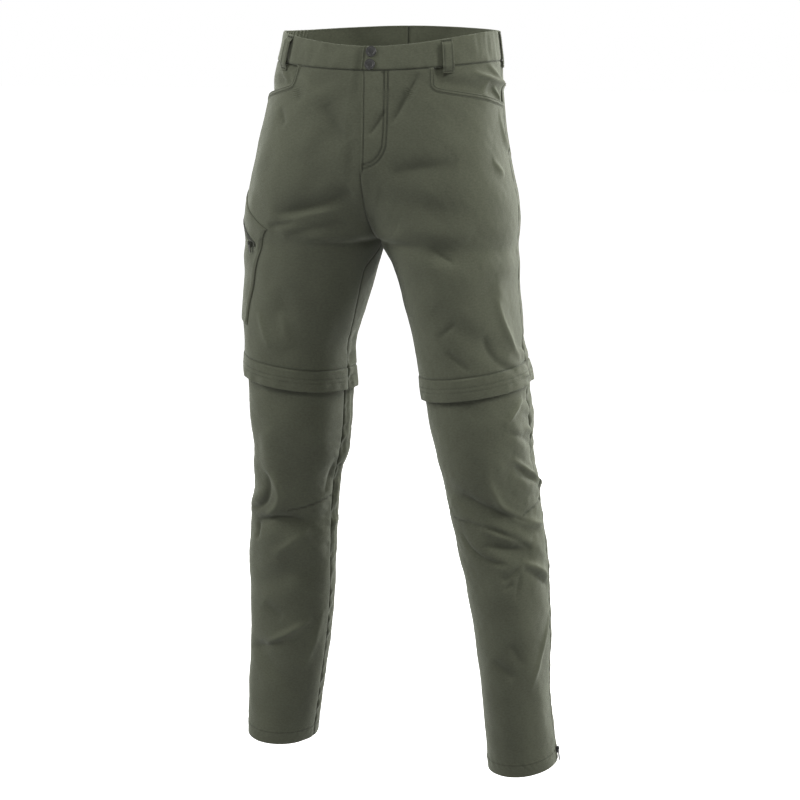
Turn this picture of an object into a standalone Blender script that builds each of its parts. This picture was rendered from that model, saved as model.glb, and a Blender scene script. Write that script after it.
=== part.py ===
"""Convertible zip-off trousers, worn and hollow, held up at the waist.

The cloth is cut as a maker cuts it: two fronts, two backs, a four-piece waistband, knee flaps that
cover the zip-off zips, and two lower legs of a front and a back each. Every piece is a wall laid on
one shared form of the filled-out garment, so neighbouring pieces meet edge to edge at their seams.

Frame: metres, +Z up, the front faces -Y and the wearer's left is +X. The origin is the middle of the
waist opening, level with the top of the waistband at the side seams. Sizes below are in millimetres.
"""

import functools
import math

import bmesh
import bpy
import numpy as np
from mathutils import Matrix, Vector

MM = 0.001
RIGHT, LEFT = -1, 1
SIDES = (RIGHT, LEFT)
NAMES = {RIGHT: "right", LEFT: "left"}

# Lengths down the garment, from the waist's top edge at the side seams
WAISTBAND_HEIGHT = 40.0
CROTCH_DROP = 288.0
FLAP_TOP = 466.0
FLAP_HEIGHT = 31.0
KNEE_FLAP_END = FLAP_TOP + FLAP_HEIGHT
THIGH_END = 482.0
KNEE_ZIP_TOP = 475.0
LOWER_TOP = 484.0
HEM_DROP = 1050.0
HEM_HEIGHT = 20.0
# The waist dips at the front centre and rises at the back one, and both fade out down the garment
FRONT_DIP = 20.0
BACK_RISE = 7.0
DIP_FADE = 170.0

# Cloth and what lies on it
SEAM_GAP = 0.3
CLOTH = 1.6
WAISTBAND_THICK = 2.4
WAISTBAND_PROUD = 0.5
PATCH_THICK = 1.4
PATCH_CLEAR = 0.8
FLAP_THICK = 1.6
FLAP_CLEAR = 0.6
ZIP_THICK = 1.4
ZIP_THIN = 0.9
ZIP_CLEAR = 0.5
HEM_EXTRA = 0.5
HEM_STEP = 1.0
KNEE_ZIP_HEIGHT = 18.0
LOWER_TUCK = CLOTH + ZIP_CLEAR + ZIP_THICK + SEAM_GAP
LOWER_EASE = 100.0
FRONT_LAP = 10.0
LAP_END = 186.0
LAP_FADE = 22.0
LAP_BEND = (2.0, 14.0)
LAP_RETURN = (4.0, 30.0)
TAB_LAP = 11.0
GATHERED_LENGTH = 60.0
GATHERS = 8
GATHER_RISE = 0.8

# Pockets, zips and fastenings. A place on the cloth is given as around and drop.
MOUTH_SHARE = {RIGHT: 0.5, LEFT: 0.6}
MOUTH_DROP = 98.0
MOUTH_CORNER = (0.45, 10.0, 16.0)
MOUTH_BACKING = 11.0
FACING_BEND = (7.0, 26.0)
EDGE_WIDTH = 7.0
EDGE_THICK = 0.9
LOOP_TOP = 1.0
LOOP_END = 50.0
LOOP_WIDTH = 13.0
LOOP_THICK = 1.2
LOOP_GAP = 2.8
LOOP_CREST = 3.2
# From a loop's top or end: where it leaves the waistband, where it is clear of it, and its middle
LOOP_BARE, LOOP_LIFT, LOOP_MIDDLE = 4.0, 9.0, 25.0
BELT_LOOPS = (
    ("front_right", RIGHT, 0.36),
    ("front_left", LEFT, 0.51),
    ("side_right", RIGHT, -0.05),
    ("side_left", LEFT, -0.05),
    ("back", LEFT, -1.0),
)
FLY_ZIP_WIDTH = 20.0
FLY_ZIP_INSETS = (2.0, 7.0)
# The thigh pocket's rear top corner, front top corner and front bottom corner, and its zip's two ends
THIGH_POCKET = ((-0.2, 180), (0.465, 270), (0.305, 419))
THIGH_ZIP = ((-0.12, 232), (0.335, 294))
THIGH_ZIP_WIDTH = 8.0
THIGH_ZIP_TOP = PATCH_CLEAR + PATCH_THICK + ZIP_CLEAR + ZIP_THIN
THIGH_SLIDER_PLACE = (0.3, 289)
ANKLE_ZIP_LENGTH = 145.0
ANKLE_SLIDER_DROP = 1029.0
SLIDER_SIZE = (6.0, 9.0, 1.8)
TAB_SIZE = {"thigh_pocket": (5, 15, 1.3), "ankle_right": (5, 20, 1.3), "ankle_left": (5, 20, 1.3)}
HINGE_INSET = 0.6
SNAP_DROPS = (9.5, 30.5)
SNAP_STEPS = 24
# Radius and height of the snap's cap, from the middle of its top out and down to the middle of its seat
SNAP_PROFILE = ((0, 1.5), (4.6, 1.5), (5.2, 2.0), (6.4, 1.9), (7.2, 1.0), (7.2, 0.4), (6.4, 0), (0, 0))

# Rows of the panels. The centre seams turn under between the legs, so the rows crowd together there.
PANEL_COLUMNS = 12
CROWDING = 0.08
CROTCH_ROWS = (183, 190, 204, 218, 232, 246, 257, 265, 272, 278, 282, 285.5, CROTCH_DROP)
LEG_ROWS = (296, 315, 338, 364, 392, 420, 450, THIGH_END)
FRONT_DROPS = (WAISTBAND_HEIGHT + SEAM_GAP / 2, 60, 76, 83, 88, 93, MOUTH_DROP, 118, 145, 172)
FRONT_DROPS += CROTCH_ROWS + LEG_ROWS
BACK_DROPS = (WAISTBAND_HEIGHT + SEAM_GAP / 2, 66, 92, 118, 145, 172) + CROTCH_ROWS + LEG_ROWS
HEM_TOP = HEM_DROP - HEM_HEIGHT
LOWER_DROPS = (
    LOWER_TOP, 504, 526, 548, 570, 590, 610, 630, 650, 670, 690, 712, 735, 765, 800, 840, 880,
    930, 980, HEM_TOP - HEM_STEP, HEM_TOP, HEM_DROP,
)
WAISTBAND_ROWS = (0, 13, 26, WAISTBAND_HEIGHT - SEAM_GAP / 2)
WAISTBAND_COLUMNS = 17
FLAP_ROWS = (FLAP_TOP, FLAP_TOP + 10, FLAP_TOP + 21, KNEE_FLAP_END)
# The form is worked out once, on a grid of this many millimetres down and this many points a unit of around
GRID_STEP = 2.0
GRID_PER_UNIT = 60
SHARP_ANGLE = 40.0

# The largest folds, each along a line from one place to another. bow bends the line sideways, width is
# the reach to each side and rise is the height, below zero for a trough. All three are in millimetres.
FOLD_END_POWER = 0.7
FOLD_COLUMNS = ("side", "around", "drop", "to_around", "to_drop", "bow", "width", "rise")
FOLDS = (
    (RIGHT, 0.95, 214, 0.50, 250, 6, 15, -5),
    (RIGHT, 0.86, 280, 0.52, 262, 4, 13, 3),
    (RIGHT, 0.52, 352, 0.62, 452, 4, 15, -3),
    (RIGHT, 0.72, 330, 0.80, 430, -4, 15, 2),
    (RIGHT, 0.45, 560, 0.58, 650, -10, 15, 4),
    (RIGHT, 0.58, 645, 0.18, 690, 4, 14, 4),
    (RIGHT, 0.22, 728, 0.96, 700, 12, 15, -5),
    (RIGHT, 0.20, 826, 0.95, 764, 8, 16, -3),
    (RIGHT, 0.25, 890, 0.80, 985, 6, 16, -3),
    (RIGHT, -0.85, 262, -0.25, 300, 8, 15, -4),
    (RIGHT, -0.80, 545, -0.15, 580, 8, 14, -4),
    (RIGHT, -0.85, 640, -0.20, 615, 6, 14, -4),
    (RIGHT, -0.30, 700, -0.75, 745, 6, 16, 3),
    (RIGHT, -0.80, 900, -0.20, 950, 8, 16, -3),
    (LEFT, 0.92, 216, 0.38, 240, 6, 15, -4),
    (LEFT, 0.80, 262, 0.40, 272, 4, 13, 3),
    (LEFT, 0.76, 272, 0.36, 316, 5, 14, -4),
    (LEFT, 0.60, 366, 0.24, 452, 4, 14, -3),
    (LEFT, 0.26, 336, 0.16, 446, 4, 13, 3),
    (LEFT, 0.25, 520, 0.08, 612, 6, 15, 3),
    (LEFT, 0.78, 618, 0.06, 708, 5, 14, -5),
    (LEFT, 0.30, 612, -0.10, 652, 4, 14, 4),
    (LEFT, 0.64, 662, 0.12, 748, 8, 14, -4),
    (LEFT, 0.42, 730, 0.16, 1010, 6, 18, 3),
    (LEFT, -0.85, 258, -0.25, 304, 8, 15, -4),
    (LEFT, -0.85, 540, -0.20, 575, 8, 14, -4),
    (LEFT, -0.80, 645, -0.15, 608, 6, 14, -4),
    (LEFT, -0.35, 705, -0.75, 760, 6, 16, 3),
    (LEFT, -0.75, 880, -0.20, 935, 8, 16, -3),
)

# The form, one half of it, as a section at each drop below the waist. width runs from the centre or
# inseam out to the side seam. side, front, back, fork_front and fork_back are distances behind the
# section's middle. peak is where the front and back are fullest, as a share of the width from the
# centre, and full is the same place as a share of the way round from the side seam. crease is 0 where
# the centre seam lies smooth and 1 where the leg has turned in to it. sway is how far the wearer's
# weight has carried the section towards their right. ROUND_OFF makes each quarter nearly an ellipse.
ROUND_OFF = 0.56
SECTION_COLUMNS = (
    "drop", "width", "side", "front", "back", "fork_front", "fork_back", "peak", "full", "crease", "sway",
)
SECTIONS = (
    (0, 150, 0, -101, 108, -102, 108, 0.22, 0.84, 0.0, 0),
    (40, 157, 0, -107, 113, -108, 112, 0.24, 0.83, 0.0, 2),
    (100, 167, 2, -113, 126, -115, 123, 0.32, 0.78, 0.0, 8),
    (160, 178, 3, -117, 137, -119, 131, 0.38, 0.74, 0.0, 12),
    (200, 187, 4, -116, 140, -113, 128, 0.42, 0.7, 0.1, 13),
    (235, 194, 5, -112, 138, -96, 112, 0.45, 0.67, 0.4, 13),
    (262, 196, 5, -108, 132, -70, 84, 0.47, 0.64, 0.75, 13),
    (280, 195, 6, -104, 126, -32, 46, 0.48, 0.62, 1.0, 13),
    (288, 194, 6, -102, 122, 9, 9, 0.49, 0.61, 1.0, 13),
    (320, 186, 6, -99, 114, 9, 9, 0.49, 0.575, 1.0, 13),
    (350, 175, 6, -95, 106, 8, 8, 0.5, 0.555, 1.0, 13),
    (383, 167, 6, -92, 100, 7, 7, 0.5, 0.535, 1.0, 13),
    (412, 159, 5, -89, 95, 6, 6, 0.5, 0.52, 1.0, 13),
    (441, 153, 5, -87, 92, 6, 6, 0.5, 0.51, 1.0, 13),
    (480, 154, 4, -85, 88, 5, 5, 0.5, 0.5, 1.0, 13),
    (530, 149, 4, -84, 85, 4, 4, 0.5, 0.5, 1.0, 13),
    (600, 132, 4, -77, 78, 3, 3, 0.5, 0.5, 1.0, 13),
    (654, 124, 4, -71, 75, 3, 3, 0.5, 0.5, 1.0, 13),
    (750, 124, 4, -65, 73, 3, 3, 0.5, 0.5, 1.0, 13),
    (860, 117, 3, -60, 69, 3, 3, 0.5, 0.5, 1.0, 13),
    (930, 110, 2, -58, 64, 3, 3, 0.5, 0.5, 1.0, 13),
    (1050, 102, 2, -58, 60, 3, 3, 0.5, 0.5, 1.0, 13),
)

# Where each leg stands. inner is how far the inseam is from the centre seam, wider how much the leg is
# pressed sideways out of round, ahead how far it has moved forwards, turn how far its front points
# outwards and lean how far it slants out, in degrees.
STANCE_COLUMNS = ("drop", "inner", "wider", "ahead", "turn", "lean")
STANCE = {
    RIGHT: (
        (0, 0.15, 0, 0, 0, 0),
        (220, 0.15, 0, 0, 0, 0),
        (288, 0.15, 4, 0, 0, 0),
        (320, 9, 6, 0, 2, 2),
        (383, 29, 8, 0, 6, 6),
        (441, 49, 2, 0, 8, 8),
        (500, 50, 0, 0, 10, 8),
        (545, 53, 0, 0, 11, 7),
        (600, 62, -2, -3, 12, 5),
        (654, 73, -5, -4, 12, 3),
        (720, 76, 2, -3, 12, 3),
        (800, 77, 9, -2, 12, 2),
        (880, 83, 9, -1, 12, 2),
        (960, 94, 8, 0, 12, 2),
        (1050, 107, 1, 2, 12, 2),
    ),
    LEFT: (
        (0, 0.15, 0, 0, 0, 0),
        (220, 0.15, 0, 0, 0, 0),
        (288, 0.15, 0, 0, 0, 0),
        (317, 18, -9, 2, 0, 2),
        (373, 38, -8, 7, 0, 6),
        (429, 53, -2, 13, 0, 8),
        (500, 66, -1, 17, 0, 9),
        (545, 77, -1, 19, 0, 9),
        (600, 93, -2, 21, 0, 9),
        (640, 102, 5, 22, 0, 9),
        (720, 120, 2, 24, 0, 9),
        (800, 138, -7, 25, 0, 8),
        (860, 148, -9, 26, 0, 8),
        (930, 157, -11, 27, 0, 7),
        (1050, 169, -1, 28, 0, 7),
    ),
}


def slopes_through(xs, ys):
    """Slopes that carry a curve smoothly through the points with no overshoot."""
    steps = np.diff(ys) / np.diff(xs)
    slopes = np.zeros_like(ys)
    for i in range(1, len(ys) - 1):
        before, after = steps[i - 1], steps[i]
        if before * after > 0:
            slopes[i] = 2 * before * after / (before + after)
    slopes[0], slopes[-1] = steps[0], steps[-1]
    return slopes


def smooth_table(columns, rows):
    """A function that gives every column of the table, by name, at any drop."""
    table = np.array(rows, float)
    xs = table[:, 0]
    slopes = [slopes_through(xs, table[:, i]) for i in range(1, len(columns))]

    def at(drop):
        drop = min(max(drop, xs[0]), xs[-1])
        i = min(int(np.searchsorted(xs, drop, side="right")) - 1, len(xs) - 2)
        step = xs[i + 1] - xs[i]
        t = (drop - xs[i]) / step
        near, far = (1 + 2 * t) * (1 - t) ** 2, t * t * (3 - 2 * t)
        leave, arrive = t * (1 - t) ** 2 * step, t * t * (t - 1) * step
        return {
            name: near * table[i, k] + far * table[i + 1, k]
            + leave * slopes[k - 1][i] + arrive * slopes[k - 1][i + 1]
            for k, name in enumerate(columns) if k
        }

    return at


section_at = smooth_table(SECTION_COLUMNS, SECTIONS)
stance_at = {side: smooth_table(STANCE_COLUMNS, rows) for side, rows in STANCE.items()}


def arc(start, start_handle, end_handle, end, count=24):
    """Points along one Bezier arc."""
    t = np.linspace(0, 1, count)[:, None]
    return (
        (1 - t) ** 3 * np.array(start) + 3 * t * (1 - t) ** 2 * np.array(start_handle)
        + 3 * t * t * (1 - t) * np.array(end_handle) + t ** 3 * np.array(end)
    )


@functools.lru_cache(maxsize=None)
def half_outline(side, front, drop):
    """The form's front or back half at this drop, from the side seam in: points, shares and length."""
    s = section_at(drop)
    wider = stance_at[side](drop)["wider"]
    width = s["width"] + wider
    depth = s["front"] + wider / 2 if front else s["back"] - wider / 2
    fork = s["fork_front"] if front else s["fork_back"]
    peak_x = s["peak"] * width
    seam, peak, inner = (width, s["side"]), (peak_x, depth), (0.0, fork)
    outer_arc = arc(
        seam, (width, s["side"] + ROUND_OFF * (depth - s["side"])),
        (peak_x + ROUND_OFF * (width - peak_x), depth), peak,
    )
    smooth, creased = (1 - s["crease"]) * ROUND_OFF * peak_x, s["crease"] * ROUND_OFF * (depth - fork)
    inner_arc = arc(peak, (peak_x - ROUND_OFF * peak_x, depth), (smooth, fork + creased), inner)
    points = np.vstack([outer_arc, inner_arc[1:]])
    length = np.concatenate([[0], np.cumsum(np.linalg.norm(np.diff(points, axis=0), axis=1))])
    to_peak = length[len(outer_arc) - 1]
    outer_share = s["full"] * length / to_peak
    inner_share = s["full"] + (1 - s["full"]) * (length - to_peak) / (length[-1] - to_peak)
    return points, np.where(length <= to_peak, outer_share, inner_share), length[-1]


def girth(side, front, drop):
    """Length from the side seam to the centre or inseam, round the front or the back."""
    return half_outline(side, front, drop)[2]


def form_point(side, around, drop):
    """A point of the bare form. around is 0 at the side seam, 1 at the front centre or inseam, -1 behind."""
    points, shares, _ = half_outline(side, around >= 0, drop)
    p = np.interp(abs(around), shares, points[:, 0])
    q = np.interp(abs(around), shares, points[:, 1])
    stance, section = stance_at[side](drop), section_at(drop)
    half_width = points[0, 0] / 2
    turn = math.radians(stance["turn"])
    across = (p - half_width) * math.cos(turn) - q * math.sin(turn)
    behind = (p - half_width) * math.sin(turn) + q * math.cos(turn)
    ease = (1 - math.cos(math.pi * abs(around))) / 2
    fade = max(0.0, 1 - drop / DIP_FADE) ** 2
    dip = (-FRONT_DIP if around >= 0 else BACK_RISE) * ease * fade
    return np.array((
        side * (stance["inner"] + half_width + across) - section["sway"],
        behind - stance["ahead"],
        -drop + dip + across * math.tan(math.radians(stance["lean"])),
    ))


def form_table(side):
    """The bare form of one side at every grid drop and grid around."""
    return np.array([[form_point(side, around, drop) for around in GRID_AROUNDS] for drop in GRID_DROPS])


GRID_DROPS = np.arange(0.0, HEM_DROP + GRID_STEP / 4, GRID_STEP)
GRID_AROUNDS = np.linspace(-1, 1, 2 * GRID_PER_UNIT + 1)
FORM = {side: form_table(side) for side in SIDES}
QUARTERS = {
    side: [(girth(side, True, drop) + girth(side, False, drop)) / 2 for drop in GRID_DROPS] for side in SIDES
}


def quarter(side, drop):
    """Millimetres round the form for one unit of around."""
    return np.interp(drop, GRID_DROPS, QUARTERS[side])


def read_form(side, around, drop):
    """Points of one side's form, read between its grid points."""
    row = np.clip(drop / GRID_STEP, 0, len(GRID_DROPS) - 1.001)
    column = np.clip((around + 1) * GRID_PER_UNIT, 0, len(GRID_AROUNDS) - 1.001)
    r, c = row.astype(int), column.astype(int)
    below, beside = (row - r)[..., None], (column - c)[..., None]
    table = FORM[side]
    upper = table[r, c] * (1 - beside) + table[r, c + 1] * beside
    lower = table[r + 1, c] * (1 - beside) + table[r + 1, c + 1] * beside
    return upper * (1 - below) + lower * below


def form(side, around, drop):
    """Points of the form. Past a centre seam lies the other half, and past an inseam the same leg goes on."""
    around, drop = np.broadcast_arrays(np.asarray(around, float), np.asarray(drop, float))
    past = np.abs(around) > 1
    turned_back = np.where(past, np.sign(around) * (2 - np.abs(around)), around)
    on_leg = drop >= CROTCH_DROP
    own = read_form(side, np.where(past & on_leg, -turned_back, turned_back), drop)
    return np.where((past & ~on_leg)[..., None], read_form(-side, turned_back, drop), own)


def form_normal(side, around, drop):
    """Directions straight out of the form."""
    drop = np.asarray(drop, float)
    reach = 2.0
    steps = reach / quarter(side, drop)
    round_it = form(side, around + steps, drop) - form(side, around - steps, drop)
    below, above = np.minimum(drop + reach, HEM_DROP), np.maximum(drop - reach, 0)
    down_it = form(side, around, below) - form(side, around, above)
    normal = np.cross(down_it, round_it) * -side
    return normal / np.linalg.norm(normal, axis=-1, keepdims=True)


def relief(side, around, drop):
    """Height of the folds over the bare form."""
    around, drop = np.broadcast_arrays(np.asarray(around, float), np.asarray(drop, float))
    height = np.zeros(around.shape)
    round_mm = quarter(side, drop)
    for fold in (dict(zip(FOLD_COLUMNS, row)) for row in FOLDS):
        if fold["side"] != side:
            continue
        middle = quarter(side, (fold["drop"] + fold["to_drop"]) / 2)
        run = np.array(((fold["to_around"] - fold["around"]) * middle, fold["to_drop"] - fold["drop"]))
        length = np.hypot(*run)
        x, y = (around - fold["around"]) * round_mm, drop - fold["drop"]
        along = (x * run[0] + y * run[1]) / length ** 2
        off = (x * run[1] - y * run[0]) / length - fold["bow"] * 4 * along * (1 - along)
        ends = np.clip(1 - (2 * along - 1) ** 2, 0, 1) ** FOLD_END_POWER
        height += fold["rise"] * ends * np.exp(-((off / fold["width"]) ** 2))
    return height


def lay(side, around, drop, height):
    """Points at this height over the folded form."""
    around, drop = np.broadcast_arrays(np.asarray(around, float), np.asarray(drop, float))
    out = form_normal(side, around, drop)
    return form(side, around, drop) + out * (height + relief(side, around, drop))[..., None]


def smooth_step(start, end, value):
    t = np.clip((value - start) / (end - start), 0, 1)
    return t * t * (3 - 2 * t)


def make_fabric(name, colour, roughness=0.9, metallic=0.0):
    material = bpy.data.materials.new(name)
    material.use_nodes = True
    shader = material.node_tree.nodes["Principled BSDF"]
    shader.inputs["Base Color"].default_value = (*colour, 1)
    shader.inputs["Roughness"].default_value = roughness
    shader.inputs["Metallic"].default_value = metallic
    return material


def add_object(name, mesh, material, parent):
    mesh.materials.append(material)
    obj = bpy.data.objects.new(name, mesh)
    obj.parent = parent
    PARTS.objects.link(obj)
    return obj


def add_wall(name, side, around, drop, height, thick, material):
    """A closed wall of cloth: one sheet of points at this height over the form, and one under it."""
    around, drop, height, thick = np.broadcast_arrays(
        *(np.asarray(values, float) for values in (around, drop, height, thick))
    )
    rows, columns = around.shape
    bm = bmesh.new()
    for sheet in (lay(side, around, drop, height), lay(side, around, drop, height - thick)):
        grid = bmesh.ops.create_grid(bm, x_segments=columns - 1, y_segments=rows - 1, size=1)["verts"]
        for vert, place in zip(grid, sheet.reshape(-1, 3)):
            vert.co = place * MM
    bmesh.ops.bridge_loops(bm, edges=[edge for edge in bm.edges if edge.is_boundary])
    bmesh.ops.recalc_face_normals(bm, faces=bm.faces)
    mesh = bpy.data.meshes.new(name)
    bm.to_mesh(mesh)
    bm.free()
    mesh.shade_smooth()
    mesh.set_sharp_from_angle(angle=math.radians(SHARP_ANGLE))
    return add_object(name, mesh, material, TROUSERS)


def crowded(columns):
    """Shares from 0 to 1 that lie closer together at both ends, where the form turns most."""
    even = np.linspace(0, 1, columns)
    return even - CROWDING * np.sin(2 * np.pi * even)


def span(drops, edges, columns):
    """Rows at these drops, each with columns between its two edges."""
    shares = crowded(columns) if np.isscalar(columns) else np.asarray(columns)
    ends = np.array([edges(drop) for drop in drops], float)
    around = ends[:, :1] + (ends[:, 1:] - ends[:, :1]) * shares
    return around, np.repeat(np.asarray(drops, float)[:, None], len(shares), axis=1)


def seam(side, drop, at=0.0):
    """Half a seam's gap, in units of around, at the side seam or at the inseam."""
    reach = 0.01
    across = np.linalg.norm(form(side, at + reach, drop) - form(side, at - reach, drop))
    return SEAM_GAP / 2 * 2 * reach / across


def inner_edge(side, drop):
    """Where a panel ends at the centre seam or the inseam. The form itself is parted along the centre."""
    return 1 - seam(side, drop, 1.0) if drop >= CROTCH_DROP else 1.0


def lap_width(drop):
    """How far the left front laps over the right one, in millimetres."""
    return FRONT_LAP * (1 - smooth_step(LAP_END - LAP_FADE, LAP_END, drop))


def under_lap(side, around, drop, thick):
    """How far the right front sinks to pass behind the left one."""
    from_centre = (1 - around) * quarter(side, drop)
    near = 1 - smooth_step(FRONT_LAP + LAP_BEND[0], FRONT_LAP + LAP_BEND[1], from_centre)
    lapped = 1 - smooth_step(LAP_END + LAP_RETURN[0], LAP_END + LAP_RETURN[1], drop)
    return -(thick + SEAM_GAP) * near * lapped


def mouth_curve(side):
    """The front pocket's mouth, from the waist seam down and out to the side seam."""
    top = MOUTH_SHARE[side]
    share, first, second = MOUTH_CORNER
    handles = (top, MOUTH_DROP - first), (share * top, MOUTH_DROP - second)
    return arc((top, WAISTBAND_HEIGHT), *handles, (0, MOUTH_DROP), count=40)


def mouth_edge(side, drop):
    """Where the front panel starts: at the mouth above its end, and at the side seam below it."""
    curve = mouth_curve(side)
    return max(np.interp(drop, curve[:, 1], curve[:, 0]), seam(side, drop))


def from_mouth(side, around, drop):
    """Distance to the mouth's edge, in millimetres."""
    curve = mouth_curve(side)
    x = (np.asarray(around)[..., None] - curve[:, 0]) * quarter(side, MOUTH_DROP)
    y = np.asarray(drop)[..., None] - curve[:, 1]
    return np.sqrt(x * x + y * y).min(axis=-1)


def lower_height(drop):
    """The lower leg starts inside the thigh, behind the zip, and comes out to the form below it."""
    tucked = -LOWER_TUCK * (1 - smooth_step(KNEE_FLAP_END, KNEE_FLAP_END + LOWER_EASE, drop))
    return tucked + HEM_EXTRA * smooth_step(HEM_TOP - HEM_STEP, HEM_TOP, drop)


def add_fronts():
    for side in SIDES:
        def edges(drop):
            end = inner_edge(side, drop)
            if side == LEFT:
                end += lap_width(drop) / quarter(side, drop)
            return mouth_edge(side, drop), end

        around, drop = span(FRONT_DROPS, edges, PANEL_COLUMNS)
        height = under_lap(side, around, drop, CLOTH) if side == RIGHT else 0
        add_wall("front_" + NAMES[side], side, around, drop, height, CLOTH, OLIVE)


def add_backs():
    for side in SIDES:
        def edges(drop):
            return -inner_edge(side, drop), -seam(side, drop)

        around, drop = span(BACK_DROPS, edges, PANEL_COLUMNS)
        add_wall("back_" + NAMES[side], side, around, drop, 0, CLOTH, OLIVE)


def add_waistbands():
    for side in SIDES:
        def front_edges(drop):
            return seam(side, drop), 1 + (TAB_LAP / quarter(side, drop) if side == LEFT else 0)

        around, drop = span(WAISTBAND_ROWS, front_edges, WAISTBAND_COLUMNS)
        height = WAISTBAND_PROUD
        if side == RIGHT:
            height = height + under_lap(side, around, drop, WAISTBAND_THICK)
        add_wall("waistband_front_" + NAMES[side], side, around, drop, height, WAISTBAND_THICK, OLIVE)

        def back_edges(drop):
            return -1.0, -seam(side, drop)

        gathered = GATHERED_LENGTH / quarter(side, 0)
        plain = np.linspace(0, 1 - gathered, 11)[:-1]
        shares = np.concatenate([plain, np.linspace(1 - gathered, 1, 4 * GATHERS + 1)])
        around, drop = span(WAISTBAND_ROWS, back_edges, shares)
        waves = (1 - np.cos(2 * np.pi * GATHERS * (around + gathered) / gathered)) / 2
        rise = np.where(around > -gathered, GATHER_RISE * waves, 0)
        add_wall(
            "waistband_back_" + NAMES[side], side, around, drop,
            WAISTBAND_PROUD + rise, WAISTBAND_THICK + rise, OLIVE,
        )


def add_belt_loops():
    from_top = [LOOP_TOP + reach for reach in (0, LOOP_BARE, LOOP_LIFT, LOOP_MIDDLE)]
    from_end = [LOOP_END - reach for reach in (LOOP_LIFT, LOOP_BARE, 0)]
    drops = np.array(from_top + from_end)
    bow = np.array((0, 0, LOOP_GAP, LOOP_CREST, LOOP_GAP, 0, 0))
    for name, side, middle in BELT_LOOPS:
        half = LOOP_WIDTH / 2 / quarter(side, WAISTBAND_HEIGHT / 2)
        around, drop = span(drops, lambda _: (middle - half, middle + half), 3)
        clear = WAISTBAND_PROUD + (GATHER_RISE if name.startswith("side") else 0) + SEAM_GAP
        top = clear + LOOP_THICK + bow[:, None]
        add_wall("belt_loop_" + name, side, around, drop, top, LOOP_THICK, OLIVE)


def add_front_pockets():
    for side in SIDES:
        def edges(drop):
            return seam(side, drop), mouth_edge(side, drop) + MOUTH_BACKING / quarter(side, drop)

        drops = (*(row for row in FRONT_DROPS if row <= MOUTH_DROP), MOUTH_DROP + MOUTH_BACKING)
        around, drop = span(drops, edges, 11)
        start = np.maximum(around - np.array([[mouth_edge(side, d)] for d in drops]), 0)
        behind = 1 - smooth_step(*FACING_BEND, np.where(start > 0, 0, from_mouth(side, around, drop)))
        behind = np.where(drop > MOUTH_DROP, 1, behind)
        height = -(CLOTH + 2 * SEAM_GAP) * behind
        add_wall("pocket_facing_" + NAMES[side], side, around, drop, height, CLOTH - 0.2, OLIVE)

        curve = mouth_curve(side)[::3]
        scale = quarter(side, MOUTH_DROP)
        along = np.gradient(curve * (scale, 1), axis=0)
        along /= np.linalg.norm(along, axis=1, keepdims=True)
        into_panel = np.stack([-along[:, 1], along[:, 0]], axis=1) * -1 / (scale, 1)
        ribbon = np.stack([curve + into_panel * EDGE_WIDTH * share for share in (0.08, 0.5, 1)], axis=1)
        ribbon[0, :, 1] = WAISTBAND_HEIGHT + SEAM_GAP / 2
        ribbon[..., 0] = np.maximum(ribbon[..., 0], seam(side, MOUTH_DROP))
        add_wall(
            "pocket_edge_" + NAMES[side], side, ribbon[..., 0], ribbon[..., 1],
            SEAM_GAP + EDGE_THICK, EDGE_THICK, OLIVE,
        )


def add_fly():
    drops = np.linspace(WAISTBAND_HEIGHT + FLY_ZIP_INSETS[0], LAP_END - FLY_ZIP_INSETS[1], 9)
    half = FLY_ZIP_WIDTH / 2 / quarter(RIGHT, LAP_END / 2)
    around, drop = span(drops, lambda _: (1 - half, 1 + half), 3)
    add_wall("fly_zip", RIGHT, around, drop, -2 * CLOTH - 3 * SEAM_GAP, ZIP_THICK, TAPE)


def add_thigh_pocket():
    """A patch round the side seam, where its columns crowd together. Its zip runs below its slanted top."""
    (rear, rear_top), (front_top, front_drop), (front_bottom, bottom) = THIGH_POCKET
    behind, before = rear * np.linspace(1, 0, 5), np.linspace(0, 1, 9)[1:] ** 1.25
    rows = np.linspace(0, 1, 12)[:, None]
    front = front_top + (front_bottom - front_top) * rows
    around = np.hstack([behind + 0 * rows, front * before])
    top = rear_top + (front_drop - rear_top) * (around - rear) / (front_top - rear)
    drop = top + (bottom - top) * rows
    add_wall("thigh_pocket", RIGHT, around, drop, PATCH_CLEAR + PATCH_THICK, PATCH_THICK, OLIVE)

    zip_line = np.linspace(THIGH_ZIP[0], THIGH_ZIP[1], 16)
    edges = np.array((-0.5, 0.5)) * THIGH_ZIP_WIDTH
    around, drop = zip_line[:, :1] + 0 * edges, zip_line[:, 1:] + edges
    add_wall("thigh_pocket_zip", RIGHT, around, drop, THIGH_ZIP_TOP, ZIP_THIN, TAPE)


def add_knees():
    half = crowded(PANEL_COLUMNS) / 2
    columns = np.concatenate([half, half[1:] + 0.5])
    for side in SIDES:
        def ring(drop):
            return -inner_edge(side, drop), inner_edge(side, drop)

        zip_rows = KNEE_ZIP_TOP + np.array((0, 0.5, 1)) * KNEE_ZIP_HEIGHT
        around, drop = span(zip_rows, ring, columns)
        add_wall("knee_zip_" + NAMES[side], side, around, drop, -CLOTH - ZIP_CLEAR, ZIP_THICK, TAPE)
        around, drop = span(FLAP_ROWS, ring, columns)
        add_wall("knee_flap_" + NAMES[side], side, around, drop, FLAP_CLEAR + FLAP_THICK, FLAP_THICK, OLIVE)


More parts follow.
